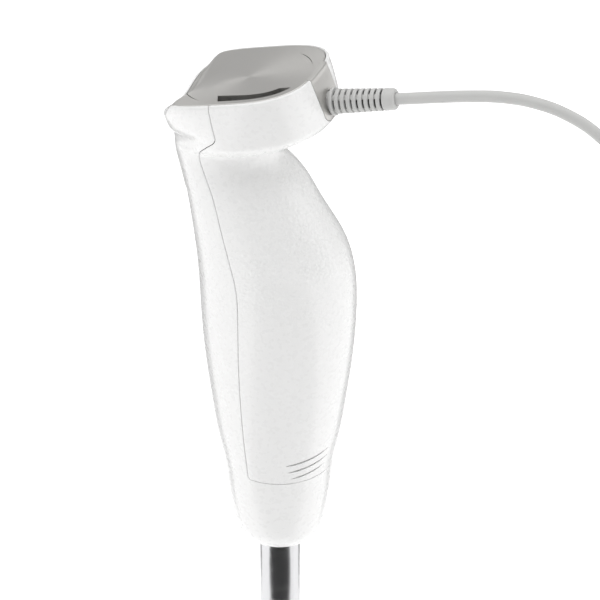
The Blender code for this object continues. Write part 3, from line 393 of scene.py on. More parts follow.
def banded(name, colour, rough, metallic, pitch, depth, axis=2):
    """Thin layers one on another: punched sheets or turns of wire, the pitch in millimetres."""
    made = Finish(name, colour, rough, metallic)
    along = split(made)[axis]
    wobble = made.maths("MULTIPLY", made.noise(200.0, 2.0), 0.12)
    wave = made.maths("SINE", made.maths("ADD", made.maths("MULTIPLY", along, 2 * pi / (pitch * MM)), wobble))
    height = made.spread(wave, -1.0, 1.0)
    made.vary_colour(height, 0.72, 1.05)
    made.vary_roughness(made.noise(400.0, 3.0), rough - 0.05, rough + 0.1)
    made.bump(height, depth, 0.8)
    return made.material


def floor_finish(name, glow):
    made = Finish(name, (0.93, 0.93, 0.93), 0.6, Emission_Color=(1.0, 1.0, 1.0, 1.0),
                  Emission_Strength=glow)
    made.vary_colour(made.noise(3.0, 3.0), 0.99, 1.0)
    made.vary_roughness(made.noise(8.0, 3.0), 0.55, 0.68)
    made.bump(made.noise(400.0, 3.0), 0.03, 0.3)
    return made.material


# ---- floor, lights and dark cards

def flat_panel(name, corners, finish):
    shape = bmesh.new()
    shape.faces.new([shape.verts.new(Vector(c)) for c in corners])
    mesh = bpy.data.meshes.new(name)
    shape.to_mesh(mesh)
    shape.free()
    made = add_object(name, mesh)
    mesh.materials.append(finish)
    return made


def area_light(name, place, aim, size, power):
    data = bpy.data.lights.new(name, "AREA")
    data.shape = "RECTANGLE"
    data.size, data.size_y = size
    data.energy = power
    made = add_object(name, data)
    made.location = place
    made.rotation_euler = (Vector(aim) - Vector(place)).to_track_quat("-Z", "Y").to_euler()


def make_studio():
    backdrop = floor_finish("studio_backdrop", 0.95)
    flat_panel("floor", [(x * STUDIO, y * STUDIO, FLOOR_Z) for x, y in ((-1, -1), (1, -1), (1, 1), (-1, 1))],
               floor_finish("studio_floor", 0.5))
    for k in range(4):
        turn = Matrix.Rotation(pi / 2 * k, 3, "Z")
        corners = [turn @ Vector((x * STUDIO, STUDIO, z))
                   for x, z in ((-1, FLOOR_Z), (1, FLOOR_Z), (1, STUDIO), (-1, STUDIO))]
        wall_panel = flat_panel("backdrop_%d" % k, corners, backdrop)
        wall_panel.visible_diffuse = wall_panel.visible_glossy = wall_panel.visible_shadow = False
        wall_panel.visible_transmission = False
    world = bpy.data.worlds.new("studio")
    world.use_nodes = True
    sky = world.node_tree.nodes["Background"]
    sky.inputs["Color"].default_value = (1.0, 1.0, 1.0, 1.0)
    sky.inputs["Strength"].default_value = 0.5
    bpy.context.scene.world = world
    bpy.context.scene.view_settings.view_transform = "Standard"
    right = Vector((cos(VIEW_AZIMUTH), sin(VIEW_AZIMUTH), 0.0))
    ahead = Vector((-sin(VIEW_AZIMUTH), cos(VIEW_AZIMUTH), 0.0))
    area_light("top_box", (0.0, 0.1, 1.7), (0.0, 0.0, 0.2), (2.2, 2.2), 16.6)
    for side, name, power in ((-1, "left_box", 1.9), (1, "right_box", 2.3)):
        place = right * (1.1 * side) - ahead * 0.15 + Vector((0.0, 0.0, 0.55))
        area_light(name, place, (0.0, 0.0, 0.28), (0.7, 1.1), power)
    dark = soft_plastic("card_black", (0.02, 0.02, 0.02), 0.8)
    cards = [("card_front", [right * -0.22 - ahead * 0.12, right * 0.22 - ahead * 0.12,
                             right * 0.75 - ahead * 1.5, right * -0.75 - ahead * 1.5])]
    for side, name in ((-1, "card_left"), (1, "card_right")):
        near = right * (0.16 * side) + ahead * 0.10
        far = right * (0.16 * side) + ahead * 0.75
        rise = Vector((0.0, 0.0, 0.34))
        cards.append((name, [near, far, far + rise, near + rise]))
    for name, corners in cards:
        card = flat_panel(name, corners, dark)
        card.visible_camera = card.visible_diffuse = card.visible_shadow = False
        card.visible_transmission = card.visible_volume_scatter = False


# ---- making objects

def to_object(name, shape, body, finish, replaced=(), angle=35.0):
    """Turn a bmesh in millimetres into a piece of the scene that rides on a body."""
    bmesh.ops.triangulate(shape, faces=shape.faces)
    bmesh.ops.recalc_face_normals(shape, faces=shape.faces)
    for vertex in shape.verts:
        vertex.co = to_frame(vertex.co)
    mesh = bpy.data.meshes.new(name)
    shape.to_mesh(mesh)
    shape.free()
    mesh.shade_smooth()
    mesh.set_sharp_from_angle(angle=radians(angle))
    made = add_object(name, mesh)
    if finish:
        mesh.materials.append(finish)
    if body:
        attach(made, body)
    if replaced:
        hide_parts(*replaced)
    return made


def add_step(target, operation, tool):
    step = target.modifiers.new("step", "BOOLEAN")
    step.operation = operation
    step.solver = "EXACT"
    step.object = tool


def steel_piece(node, shape, body, finish, angle=35.0):
    """The finer form of one steel CAD node."""
    return to_object(node + "_fine", shape, body, finish, [node], angle)


def combine(target, shapes, operation, angle=35.0):
    """Cut or join shapes in millimetres to a piece, and keep only the result."""
    tools = []
    for shape in shapes:
        tools.append(to_object(target.name + "_tool", shape, None, None))
        add_step(target, operation, tools[-1])
    bpy.context.view_layer.update()
    graph = bpy.context.evaluated_depsgraph_get()
    finished = bpy.data.meshes.new_from_object(target.evaluated_get(graph))
    target.modifiers.clear()
    finished.materials.clear()
    for used in target.data.materials:
        finished.materials.append(used)
    target.data = finished
    finished.shade_smooth()
    finished.set_sharp_from_angle(angle=radians(angle))
    for tool in tools:
        bpy.data.objects.remove(tool, do_unlink=True)


def join_rings(shape, low, high):
    for k in range(len(low)):
        after = (k + 1) % len(low)
        shape.faces.new((low[k], low[after], high[after], high[k]))


def loft(rings, closed=False):
    """Skin a list of rings; a closed one joins its last ring to its first, others get flat ends."""
    shape = bmesh.new()
    rows = [[shape.verts.new(point) for point in ring] for ring in rings]
    pairs = list(zip(rows, rows[1:]))
    if closed:
        pairs.append((rows[-1], rows[0]))
    for low, high in pairs:
        join_rings(shape, low, high)
    if not closed:
        shape.faces.new(rows[0][::-1])
        shape.faces.new(rows[-1])
    return shape


def circle(radius, z, count, centre=(0.0, 0.0)):
    return [Vector((centre[0] + radius * cos(2 * pi * k / count),
                    centre[1] + radius * sin(2 * pi * k / count), z)) for k in range(count)]


def turned(profile, count=96, centre=(0.0, 0.0), closed=True):
    return loft([circle(radius, z, count, centre) for radius, z in profile], closed)


def round_points(middle, right, up, radius, count):
    return [middle + right * (radius * cos(a)) + up * (radius * sin(a))
            for a in (2 * pi * k / count for k in range(count))]


def prism(outline, direction, start, end):
    step = Vector(direction).normalized()
    return loft([[Vector(p) + step * start for p in outline], [Vector(p) + step * end for p in outline]])


def rounded_profile(profile, radius, steps=3, closed=True):
    """The same outline in (radius, height) with its corners rounded."""
    made = []
    count = len(profile)
    for k, point in enumerate(profile):
        here = Vector(point)
        if not closed and k in (0, count - 1):
            made.append(tuple(here))
            continue
        before = Vector(profile[k - 1]) - here
        after = Vector(profile[(k + 1) % count]) - here
        reach = min(radius, before.length * 0.45, after.length * 0.45)
        a = here + before.normalized() * reach
        b = here + after.normalized() * reach
        for s in range(steps + 1):
            t = s / steps
            made.append(tuple(a * (1 - t) ** 2 + here * 2 * t * (1 - t) + b * t ** 2))
    return made


# ---- the handle's form

def ease(t):
    t = np.clip(t, 0.0, 1.0)
    return t * t * (3 - 2 * t)


def section(station, angles, inset=0.0):
    """Points of one flat section at the given angles, counted from the rear over the left side."""
    front_x, front_h, rear_x, rear_h, side, corner, front_power, rear_power = station
    c, s = np.cos(angles), np.sin(angles)
    power = np.where(c > 0, rear_power, front_power)
    r = (np.abs(c) ** power + np.abs(s) ** power) ** (-1.0 / power)
    u, v = r * c, r * s
    half = side + (corner - side) * ease((-u - 0.1) / 0.7) - inset
    run = np.array((rear_x - front_x, 0.0, rear_h - front_h))
    middle = np.array(((front_x + rear_x) / 2, 0.0, NOSE + (front_h + rear_h) / 2))
    long = np.linalg.norm(run)
    made = middle + np.outer(u * (long / 2 - inset), run / long)
    made[:, 1] = v * half
    return made


def top_height(x, y):
    """The cap's top surface: a plane whose front edge dips, most of all in the middle."""
    dip = np.clip(-36.0 - x, 0.0, 5.1)
    sag = 4.7 * ease((-21.0 - x) / 22.4) * np.cos(np.clip(np.abs(y) / 25.5, 0.0, 1.0) * pi / 2) ** 2
    return NOSE + 242.7 + 0.227 * x - 0.16 * dip ** 2 - sag


def rim(angles, inset, depth):
    made = section(RIM, angles, inset)
    made[:, 2] = top_height(made[:, 0], made[:, 1]) - depth
    return made


PARTING_STATION = 5
ROUND = 0.28              # the rounding of the shells' edges
EDGE_STEPS = (0.0, 0.03, 0.1, 0.2, 0.32)


def control(angles, inset):
    """The rings that the handle's surface is drawn through, stacked."""
    return np.array([section(s, angles, inset) for s in STATIONS[:-1]]
                    + [rim(angles, inset, 1.6 if inset == 0.0 else 4.4)])


def spline_rows():
    """Weights of the control rings for each row of a smooth surface through them."""
    ends = control(np.array([0.0, pi / 2, pi]), 0.0)
    steps = np.linalg.norm(np.diff(ends, axis=0), axis=2).mean(axis=1)
    knots = np.concatenate([[0.0], np.cumsum(steps)])
    n = len(knots)
    left, right = np.zeros((n, n)), np.zeros((n, n))
    left[0, 0] = left[-1, -1] = 1.0
    for k in range(1, n - 1):
        a, b = steps[k - 1], steps[k]
        left[k, k - 1:k + 2] = a, 2 * (a + b), b
        right[k, k - 1:k + 2] = 6 / a, -6 / a - 6 / b, 6 / b
    bend = np.linalg.solve(left, right)
    rows, names = [], []
    for k in range(n - 1):
        h = steps[k]
        count = max(2, ceil(h / 1.5))
        fractions = [i / count for i in range(count)]
        close = [(GAP / 2 + step) / h for step in EDGE_STEPS[1:]]
        if k == PARTING_STATION - 1:
            fractions = [i / count for i in range(count)] + [1.0 - step for step in close[::-1]]
        if k == PARTING_STATION:
            fractions = [0.0] + close + [i / count for i in range(1, count)]
        for b in fractions:
            a = 1 - b
            weight = ((a ** 3 - a) * bend[k] + (b ** 3 - b) * bend[k + 1]) * h * h / 6
            weight[k] += a
            weight[k + 1] += b
            rows.append(weight)
            names.append(k + b)
    last = np.zeros(n)
    last[-1] = 1.0
    return rows + [last], names + [n - 1.0]


def edge_drop(distance):
    """How far a rounded surface falls back at a distance from an open edge."""
    reach = max(0.0, ROUND - distance)
    return ROUND - sqrt(ROUND ** 2 - reach ** 2)


ROWS, ROW_AT = spline_rows()
# The rounded lip: (inset, depth outside, depth of the inner wall)
LIP_ROWS = [(1.2 * (1 - cos(a)), 1.6 * (1 - sin(a)), 4.2 - 0.5 * a)
            for a in (radians(k * 15) for k in range(1, 7))]
LIP_ROWS += [(1.36, 0.05, 3.3), (1.46, 0.17, 3.2), (LIP, 0.35, 3.1),
             (LIP, CAP_THICK + GAP, CAP_THICK + GAP)]


def ring(row, angles, inner=False):
    """Points of one row of the handle, on its outer surface or on the inner wall."""
    if row < len(ROWS):
        return np.tensordot(ROWS[row], control(angles, WALL if inner else 0.0), axes=1)
    inset, depth, inner_depth = LIP_ROWS[row - len(ROWS)]
    return rim(angles, WALL, inner_depth) if inner else rim(angles, inset, depth)


SEAM_LINE = np.array(smooth_row(SEAM, 10))[::-1]
FINE = np.linspace(0.0, pi, 1441)
REAR_COLUMNS, FRONT_COLUMNS = 44, 24      # from the rear or front middle to the seam, on each side
LAST = len(ROWS) + len(LIP_ROWS)
PARTING_ROW = ROW_AT.index(float(PARTING_STATION))


def seam_x(height):
    """Where the seam runs at a height above the nose; a round corner meets the parting."""
    x = np.interp(height, SEAM_LINE[:, 1], SEAM_LINE[:, 0])
    return x + 1.2 * np.clip(1.0 - (height - PARTING) / 1.4, 0.0, 1.0) ** 2


def split_angles(row, rear_count, front_count):
    """Angles of one row's columns, from the rear middle to the seam and from the front middle to it."""
    points = ring(row, FINE)
    travelled = np.concatenate([[0.0], np.cumsum(np.linalg.norm(np.diff(points, axis=0), axis=1))])
    behind = points[:, 0] - seam_x(points[:, 2] - NOSE)
    k = int(np.argmax(behind < 0.0))
    t = behind[k - 1] / (behind[k - 1] - behind[k])
    at = travelled[k - 1] + t * (travelled[k] - travelled[k - 1])
    height = points[k, 2] - NOSE
    lean = (seam_x(height + 0.5) - seam_x(height - 0.5)), 1.0
    run = points[0] - points[-1]
    cross = abs(lean[0] * run[2] - lean[1] * run[0]) / (np.hypot(*lean) * np.hypot(run[0], run[2]))
    half_gap = GAP / 2 / max(0.3, float(cross))
    rear = np.interp(spaced(at - half_gap, rear_count), travelled, FINE)
    front_run = travelled[-1] - at - half_gap
    front = np.interp(travelled[-1] - spaced(front_run, front_count), travelled, FINE)
    return rear, front


def spaced(run, count):
    """Distances along a run, even until the last few columns close to its open edge."""
    close = run - np.array(EDGE_STEPS[::-1])
    return np.concatenate([np.linspace(0.0, run - 1.2, count + 1 - len(close)), close])


def wall(outer, inner, cells, drops):
    """A closed wall from matching outer and inner points, its open edges rounded outside."""
    shape = bmesh.new()
    inside = {key: shape.verts.new(point) for key, point in inner.items()}
    outside = {}
    for key, point in outer.items():
        fall = (inside[key].co - Vector(point)).normalized() * drops.get(key, 0.0)
        outside[key] = shape.verts.new(Vector(point) + fall)
    loose = set()
    for cell in cells:
        shape.faces.new([outside[key] for key in cell])
        shape.faces.new([inside[key] for key in cell[::-1]])
        for a, b in zip(cell, cell[1:] + cell[:1]):
            if (b, a) in loose:
                loose.remove((b, a))
            else:
                loose.add((a, b))
    for a, b in sorted(loose, key=str):
        shape.faces.new((outside[b], outside[a], inside[a], inside[b]))
    return shape


def make_shells(finish):
    outer, inner, drops = ({"front": {}, "rear": {}} for _ in range(3))
    for row in range(LAST):
        if row >= PARTING_ROW:
            rear, front = split_angles(row, REAR_COLUMNS, FRONT_COLUMNS)
        else:
            rear, front = split_angles(PARTING_ROW, REAR_COLUMNS, FRONT_COLUMNS)
            front = np.concatenate([front[:-1], [rear[-1]]])
        for side in (1, -1):
            for inside, store in ((False, outer), (True, inner)):
                points = ring(row, rear, inside)
                if row == PARTING_ROW:
                    raised = points + np.array((0.0, 0.0, GAP / 2))
                    lowered = points - np.array((0.0, 0.0, GAP / 2))
                else:
                    raised = lowered = points
                if row >= PARTING_ROW:
                    for k, p in enumerate(raised):
                        store["rear"][(row, side * k)] = (p[0], side * p[1], p[2])
                if row <= PARTING_ROW:
                    for k, p in enumerate(lowered[:-1]):
                        store["front"][(row, "r", side * k)] = (p[0], side * p[1], p[2])
                for k, p in enumerate(ring(row, front, inside)):
                    store["front"][(row, "f", side * k)] = (p[0], side * p[1], p[2])
    rear_cells = [((r, c), (r, c + 1), (r + 1, c + 1), (r + 1, c)) for r in range(PARTING_ROW, LAST - 1)
                  for c in range(-REAR_COLUMNS, REAR_COLUMNS)]
    front_cells = [((r, "f", c + 1), (r, "f", c), (r + 1, "f", c), (r + 1, "f", c + 1))
                   for r in range(LAST - 1) for c in range(-FRONT_COLUMNS, FRONT_COLUMNS)]

    def nose_key(row, c):
        if abs(c) < REAR_COLUMNS:
            return row, "r", c
        return row, "f", FRONT_COLUMNS * (1 if c > 0 else -1)

    front_cells += [(nose_key(r, c), nose_key(r, c + 1), nose_key(r + 1, c + 1), nose_key(r + 1, c))
                    for r in range(PARTING_ROW) for c in range(-REAR_COLUMNS, REAR_COLUMNS)]
    for step, distance in enumerate(EDGE_STEPS):
        for side in (1, -1):
            for row in range(PARTING_ROW, LAST):
                drops["rear"][(row, side * (REAR_COLUMNS - step))] = edge_drop(distance)
                drops["front"][(row, "f", side * (FRONT_COLUMNS - step))] = edge_drop(distance)
            for k in range(REAR_COLUMNS):
                drops["front"][(PARTING_ROW - step, "r", side * k)] = edge_drop(distance)
                key = (PARTING_ROW + step, side * k)
                drops["rear"][key] = max(edge_drop(distance), drops["rear"].get(key, 0.0))
    made = {}
    for name, cells in (("rear", rear_cells), ("front", front_cells)):
        shape = wall(outer[name], inner[name], cells, drops[name])
        made[name] = to_object(name + "_shell_outer", shape, "handle", finish, [name + "_shell"])
    return made["front"], made["rear"]


def head_solid():
    """The head's outer form as one solid, for the cap's tongue."""
    angles = np.linspace(0.0, 2 * pi, 240, endpoint=False)
    first = next(i for i, at in enumerate(ROW_AT) if at >= 18.0)
    rows = list(range(first, len(ROWS) + 6))
    rings = [ring(row, angles) for row in rows]
    top = rings[-1]
    middle = top.mean(axis=0)
    rings += [middle + (top - middle) * scale for scale in (0.8, 0.5, 0.2)]
    return loft([[Vector(p) for p in points] for points in rings])


# ---- cuts in the shells, cap and button

VENTS = [  # (front end: angle, height), (rear end: angle, height) above the nose, and the half height
    ((-63.5, 56.3), (-17.0, 60.6), 0.5), ((-61.5, 52.3), (-16.5, 56.2), 0.5),
    ((-57.5, 48.5), (-18.5, 51.7), 0.48),
]


def vent_shape(start, end, half, side):
    """A thin slot through the rear wall that climbs to the rear and tapers at both ends."""
    rings = []
    for k in range(33):
        t = k / 32
        angle = radians(start[0] + (end[0] - start[0]) * t)
        height = NOSE + start[1] + (end[1] - start[1]) * (t + 0.25 * t * (t - 1))
        thick = half * max(0.12, min(1.0, 5.0 * t, 3.2 * (1 - t))) ** 0.6
        rings.append([Vector((r * cos(angle), side * r * sin(angle), height + z))
                      for r, z in ((17.0, -thick), (36.0, -thick), (36.0, thick), (17.0, thick))])
    return loft(rings)


TONGUE_HALF = 9.7
REAR_WALL_SLOPE = 0.343


def tongue_block(grow):
    """The block of the cap's rear tongue: a round-ended bar that leans with the head's rear wall."""
    lean = atan2(REAR_WALL_SLOPE, 1.0)
    end_r = TONGUE_HALF - 1.1 + grow
    arc = [(end_r * cos(a), 231.0 - end_r * 0.55 * sin(a)) for a in (k * pi / 32 for k in range(33))]
    sides = [(TONGUE_HALF + grow, 262.0), (TONGUE_HALF + grow, 240.0), (TONGUE_HALF + grow - 0.15, 236.0)]
    points = sides + arc + [(-y, h) for y, h in sides[::-1]]
    outline = []
    for y, h in points:
        x = RIM[2] + (RIM[3] - h) * REAR_WALL_SLOPE
        outline.append((x, y, NOSE + h))
    return prism(outline, (cos(lean), 0.0, sin(lean)), -3.6 - grow, 8.0)


BUTTON_LEAN = radians(12.0)
BUTTON_AT = Vector((-42.9, 0.0, NOSE + 193.0))
BUTTON_IN = Vector((cos(BUTTON_LEAN), 0.0, sin(BUTTON_LEAN)))
BUTTON_UP = Vector((-sin(BUTTON_LEAN), 0.0, cos(BUTTON_LEAN)))
BUTTON_HALF = (8.0, 13.0)


def rounded_outline(half_x, half_y, radius, corner_steps=8):
    points = []
    for quarter, (sx, sy) in enumerate(((1, 1), (-1, 1), (-1, -1), (1, -1))):
        for k in range(corner_steps + 1):
            angle = (quarter + k / corner_steps) * pi / 2
            points.append((sx * (half_x - radius) + radius * cos(angle),
                           sy * (half_y - radius) + radius * sin(angle)))
    return points


def button_window():
    flat = rounded_outline(BUTTON_HALF[0] + 0.4, BUTTON_HALF[1] + 0.4, 6.4)
    outline = [BUTTON_AT + Vector((0.0, y, 0.0)) + BUTTON_UP * z for y, z in flat]
    return prism(outline, BUTTON_IN, -12.0, 12.0)


def make_button(finish, skin):
    """A pad that follows the handle's front, one millimetre proud, with a soft edge."""
    shape = bmesh.new()
    flat = rounded_outline(BUTTON_HALF[0], BUTTON_HALF[1], 6.0, 10)
    levels = [(1.0, None), (1.0, 0.1), (0.995, 0.45), (0.975, 0.75), (0.94, 0.93), (0.88, 1.0),
              (0.75, 1.0), (0.6, 1.0), (0.45, 1.0), (0.3, 1.0), (0.15, 1.0)]
    rings = []
    for scale, proud in levels:
        points = []
        for y, z in flat:
            start = BUTTON_AT + Vector((0.0, y * scale, 0.0)) + BUTTON_UP * (z * scale)
            if proud is None:
                points.append(start + BUTTON_IN * 4.5)
                continue
            hit = skin.ray_cast(start - BUTTON_IN * 15.0, BUTTON_IN)[0]
            points.append(hit - BUTTON_IN * proud)
        rings.append([shape.verts.new(p) for p in points])
    count = len(flat)
    for low, high in zip(rings, rings[1:]):
        join_rings(shape, low, high)
    shape.faces.new(rings[0][::-1])
    middle = shape.verts.new(skin.ray_cast(BUTTON_AT - BUTTON_IN * 15.0, BUTTON_IN)[0] - BUTTON_IN)
    for k in range(count):
        shape.faces.new((rings[-1][k], rings[-1][(k + 1) % count], middle))
    made = to_object("button_pad", shape, "button", finish, ["power_button"])
    stem = round_points(BUTTON_AT, ACROSS, BUTTON_UP, 2.0, 24)
    combine(made, [prism(stem, BUTTON_IN, 3.0, 8.5)], "UNION")


def make_cap(finish):
    angles = np.linspace(0.0, 2 * pi, 288, endpoint=False)
    inset = LIP + GAP
    edge = [(inset, CAP_THICK), (inset, 0.5), (inset + 0.06, 0.26), (inset + 0.2, 0.09), (inset + 0.42, 0.0)]
    outline = rim(angles, inset + 0.42, 0.0)
    middle = outline.mean(axis=0)
    rings = []
    inner = rim(angles, inset, CAP_THICK)
    for scale in (0.05, 0.3, 0.6, 0.85):
        flat = middle + (inner - middle) * scale
        rings.append(np.column_stack([flat[:, :2], top_height(flat[:, 0], flat[:, 1]) - CAP_THICK]))
    rings += [rim(angles, i, d) for i, d in edge]
    for scale in (0.985, 0.965, 0.945, 0.92, 0.895, 0.87, 0.84, 0.81, 0.775, 0.73, 0.68, 0.62, 0.55,
                  0.45, 0.3, 0.15, 0.05):
        flat = middle + (outline - middle) * scale
        rings.append(np.column_stack([flat[:, :2], top_height(flat[:, 0], flat[:, 1])]))
    plate = loft([[Vector(p) for p in points] for points in rings])
    made = to_object("cap_cover", plate, "handle", finish, ["top_cap"], angle=40.0)

    tongue = to_object("tongue_part", head_solid(), None, None)
    combine(tongue, [tongue_block(0.0)], "INTERSECT")
    add_step(made, "UNION", tongue)
    bore = round_points(relief_frame(), ACROSS, relief_up(), 4.9, 48)
    cuts = [slot_shape(), groove(26.7, -172.0, -122.0), groove(26.7, 14.0, 56.0),
            prism(bore, relief_frame(1.0) - relief_frame(), -14.0, 14.0)]
    combine(made, cuts, "DIFFERENCE", 40.0)
    bpy.data.objects.remove(tongue, do_unlink=True)


def relief_up():
    return Vector((-sin(RELIEF_TILT), 0.0, cos(RELIEF_TILT)))


def slot_shape():
    """The cap's air slot along its right border: cut square in front, drawn out to a point behind."""
    angles = np.linspace(pi, 2 * pi, 720)
    outer = section(RIM, angles, LIP + GAP + 3.4)
    inner = section(RIM, angles, LIP + GAP + 9.3)
    near = spread_evenly([p for p in outer if -17.0 <= p[0] <= 11.8], 48)
    far = spread_evenly([p for p in inner if -19.2 <= p[0] <= 10.8], 48)
    border = []
    for k, (p, q) in enumerate(zip(near, far)):
        t = k / 47
        width = (1.0 - 0.46 * t - 0.17 * t * t) * min(1.0, 3.5 * (1.0 - t) + 0.06) ** 0.8
        border.append(p.lerp(q, width))
    outline = [Vector((p.x, p.y, 0.0)) for p in near + border[::-1]]
    return prism(outline, (0, 0, 1), NOSE + 222.0, NOSE + 262.0)


def groove(radius, start, end):
    """A fine line cut in the cap's top, part of one circle, that fades at its ends."""
    rings = []
    for k in range(41):
        t = k / 40
        angle = radians(start + (end - start) * t)
        fade = max(0.15, min(1.0, 5 * t, 5 * (1 - t)))
        half, depth = 0.3 * fade, 0.55 * fade
        points = []
        for r, d in ((radius - half, 1.5), (radius + half, 1.5), (radius + half * 0.6, -depth),
                     (radius - half * 0.6, -depth)):
            x, y = CAP_MIDDLE[0] + r * cos(angle), CAP_MIDDLE[1] + r * sin(angle)
            points.append(Vector((x, y, float(top_height(x, y)) + d)))
        rings.append(points)
    return loft(rings)


# ---- strain relief, plug and coil tie

def make_relief(finish, painted_groove_shade):
    """A ribbed sleeve: each groove is deep but for four shallow bridges, and the ribs shrink to the tip. The
    deep groove floors take a second, near-black finish: painted shade.
    """
    base_r, tip_r = 5.45, 4.6

    def outer(distance):
        return base_r + (tip_r - base_r) * distance / RELIEF_LENGTH
    profile = [(CORD_R + 0.02, -7.2, 0), (7.0, -7.2, 0), (7.0, -5.4, 0), (4.6, -5.4, 0), (4.6, 1.0, 0),
               (4.75, 1.25, 0), (base_r + 0.5, 1.3, 0), (base_r + 0.6, 1.5, 0), (base_r + 0.6, 2.35, 0),
               (base_r + 0.45, RELIEF_FOOT, 0)]
    for rib in range(RELIEF_RIBS):
        start = RELIEF_FOOT + rib * RELIEF_PITCH
        r = outer(start)
        profile += [(r - 0.05, start + 0.02, 0), (r - 0.2, start + 0.07, 0.25), (r, start + 0.12, 1),
                    (r, start + 0.5, 1), (r, start + 0.88, 1), (r - 0.2, start + 0.93, 0.25)]
        width = RELIEF_PITCH - 1.0
        profile += [(r - 0.05, start + 1.0, 0), (r, start + 1.0 + width * 0.25, 0),
                    (r, start + 1.0 + width * 0.75, 0)]
    profile += [(outer(RELIEF_TIP), RELIEF_TIP + 0.3, 0), (outer(28), RELIEF_LENGTH - 1.2, 0),
                (outer(30) - 0.25, RELIEF_LENGTH - 0.45, 0), (outer(30) - 0.8, RELIEF_LENGTH, 0),
                (CORD_R + 0.35, RELIEF_LENGTH, 0), (CORD_R + 0.02, RELIEF_LENGTH - 0.3, 0)]
    shallow, deep, count, bridges, half_bridge = 0.8, 1.9, 144, 4, radians(18.0)
    along, up = relief_frame(1.0) - relief_frame(), relief_up()
    rings = []
    for radius, distance, cut in profile:
        ring_points = []
        for k in range(count):
            angle = 2 * pi * k / count
            off = abs((angle - pi / 4) / (2 * pi / bridges) % 1.0)
            off = min(off, 1 - off) * 2 * pi / bridges
            open_here = max(0.0, min(1.0, (off - half_bridge) / radians(5.0) + 0.5))
            open_here = open_here * open_here * (3 - 2 * open_here)
            r = radius - cut * (shallow + (deep - shallow) * open_here)
            ring_points.append(relief_frame() + along * distance + ACROSS * (r * cos(angle))
                               + up * (r * sin(angle)))
        rings.append(ring_points)
    made = to_object("relief_sleeve", loft(rings, closed=True), "handle", finish, ["strain_relief"],
                     angle=50.0)
    made.data.materials.append(painted_groove_shade)
    # Faces deep in the grooves, from the first rib to the tip, take the second, dark finish: painted shade in
    # the grooves.
    start = to_frame(relief_frame())
    for face in made.data.polygons:
        off = face.center - start
        if CORD_R * MM * 1.1 < (off - along * off.dot(along)).length < (tip_r - 0.6) * MM:
            face.material_index = int(RELIEF_FOOT * MM < off.dot(along) < RELIEF_TIP * MM)


def make_plug(body_finish, pin_finish, sleeve_finish):
    """Flat two-pin plug with a pressed rim, on the coil."""
    # along the plug, half width, half thickness, corner radius
    stations = [(-19.0, 3.1, 3.1, 3.0), (-18.0, 3.7, 3.6, 3.2), (-12.0, 4.3, 4.0, 3.0),
                (-5.0, 6.2, 4.6, 3.2), (0.0, 9.4, 5.1, 3.6), (5.0, 13.4, 5.8, 4.2),
                (9.0, 16.2, 6.4, 4.8), (13.0, 17.4, 6.8, 5.4), (17.0, 17.5, 6.8, 5.6),
                (18.2, 17.2, 6.6, 5.4), (18.8, 16.6, 6.1, 5.0), (19.0, 15.9, 5.5, 4.6)]
    rings = []
    for along, half_w, half_t, radius in smooth_row(stations, 4):
        rings.append([PLUG_AT + Vector((along, y, z))
                      for y, z in rounded_outline(half_w, half_t, min(radius, half_t - 0.05), 8)])
    made = to_object("plug_case", loft(rings), "handle", body_finish, ["plug_body"])
    grips = []
    for k in range(4):
        x = -1.5 + 3.4 * k
        for side in (1, -1):
            half = 4.0 + 1.2 * k
            outline = [(x, -half), (x + 1.1, -half), (x + 1.1, half), (x, half)]
            z = 5.3 + 0.42 * k
            grips.append(prism([PLUG_AT + Vector((a, b, side * z)) for a, b in outline],
                               (0, 0, side), -0.35, 4.0))
    combine(made, grips, "DIFFERENCE", 40.0)
    pieces = [made]
    turn = Matrix.Rotation(pi / 2, 4, "Y")
    for side, name in ((-1, "plug_pin_left"), (1, "plug_pin_right")):
        spot = PLUG_AT + Vector((19.3, side * 9.3, 0.0))
        parts = (("tip", pin_finish, "steel",
                  [(0.0, 9.7), (1.98, 9.7), (1.98, 17.2), (1.7, 18.3), (1.1, 18.9), (0.0, 19.0)]),
                 ("sleeve", sleeve_finish, "black_plastic",
                  [(0.0, 0.0), (2.0, 0.0), (2.0, 9.2), (1.9, 9.5), (0.0, 9.5)]))
        for word, finish, slot, profile in parts:
            shape = turned([(max(r, 0.02), z) for r, z in profile], 32, closed=False)
            bmesh.ops.transform(shape, matrix=Matrix.Translation(spot) @ turn, verts=shape.verts)
            pieces.append(to_object(name + "_" + word, shape, "handle", finish,
                                    [name] if word == "tip" else []))
    return pieces


def make_tie(finish):
    """A strap round one side of the coil that keeps the turns together."""
    centre = Vector((COIL_CENTRE[0] - 28.0, COIL_CENTRE[1], 5.95))
    path = rounded_outline(6.6, 5.3, 2.9, 8)
    half = 3.6
    rings = []
    for x, z in path:
        out = Vector((x, 0.0, z)).normalized() * 0.55
        inner = centre + Vector((x, 0.0, z))
        rings.append([inner + Vector((0, -half, 0)), inner + out + Vector((0, -half + 0.1, 0)),
                      inner + out + Vector((0, half - 0.1, 0)), inner + Vector((0, half, 0))])
    return to_object("coil_tie", loft(rings, closed=True), "handle", finish, [])


# ---- arm, bell and blade

BELL_R = 32.0
BELL_WALL = 1.2
BELL_NECK = TUBE_R + GAP
BLADE_AT = 15.2
BLADE_REACH = 23.0
BLADE_THICK = 1.3


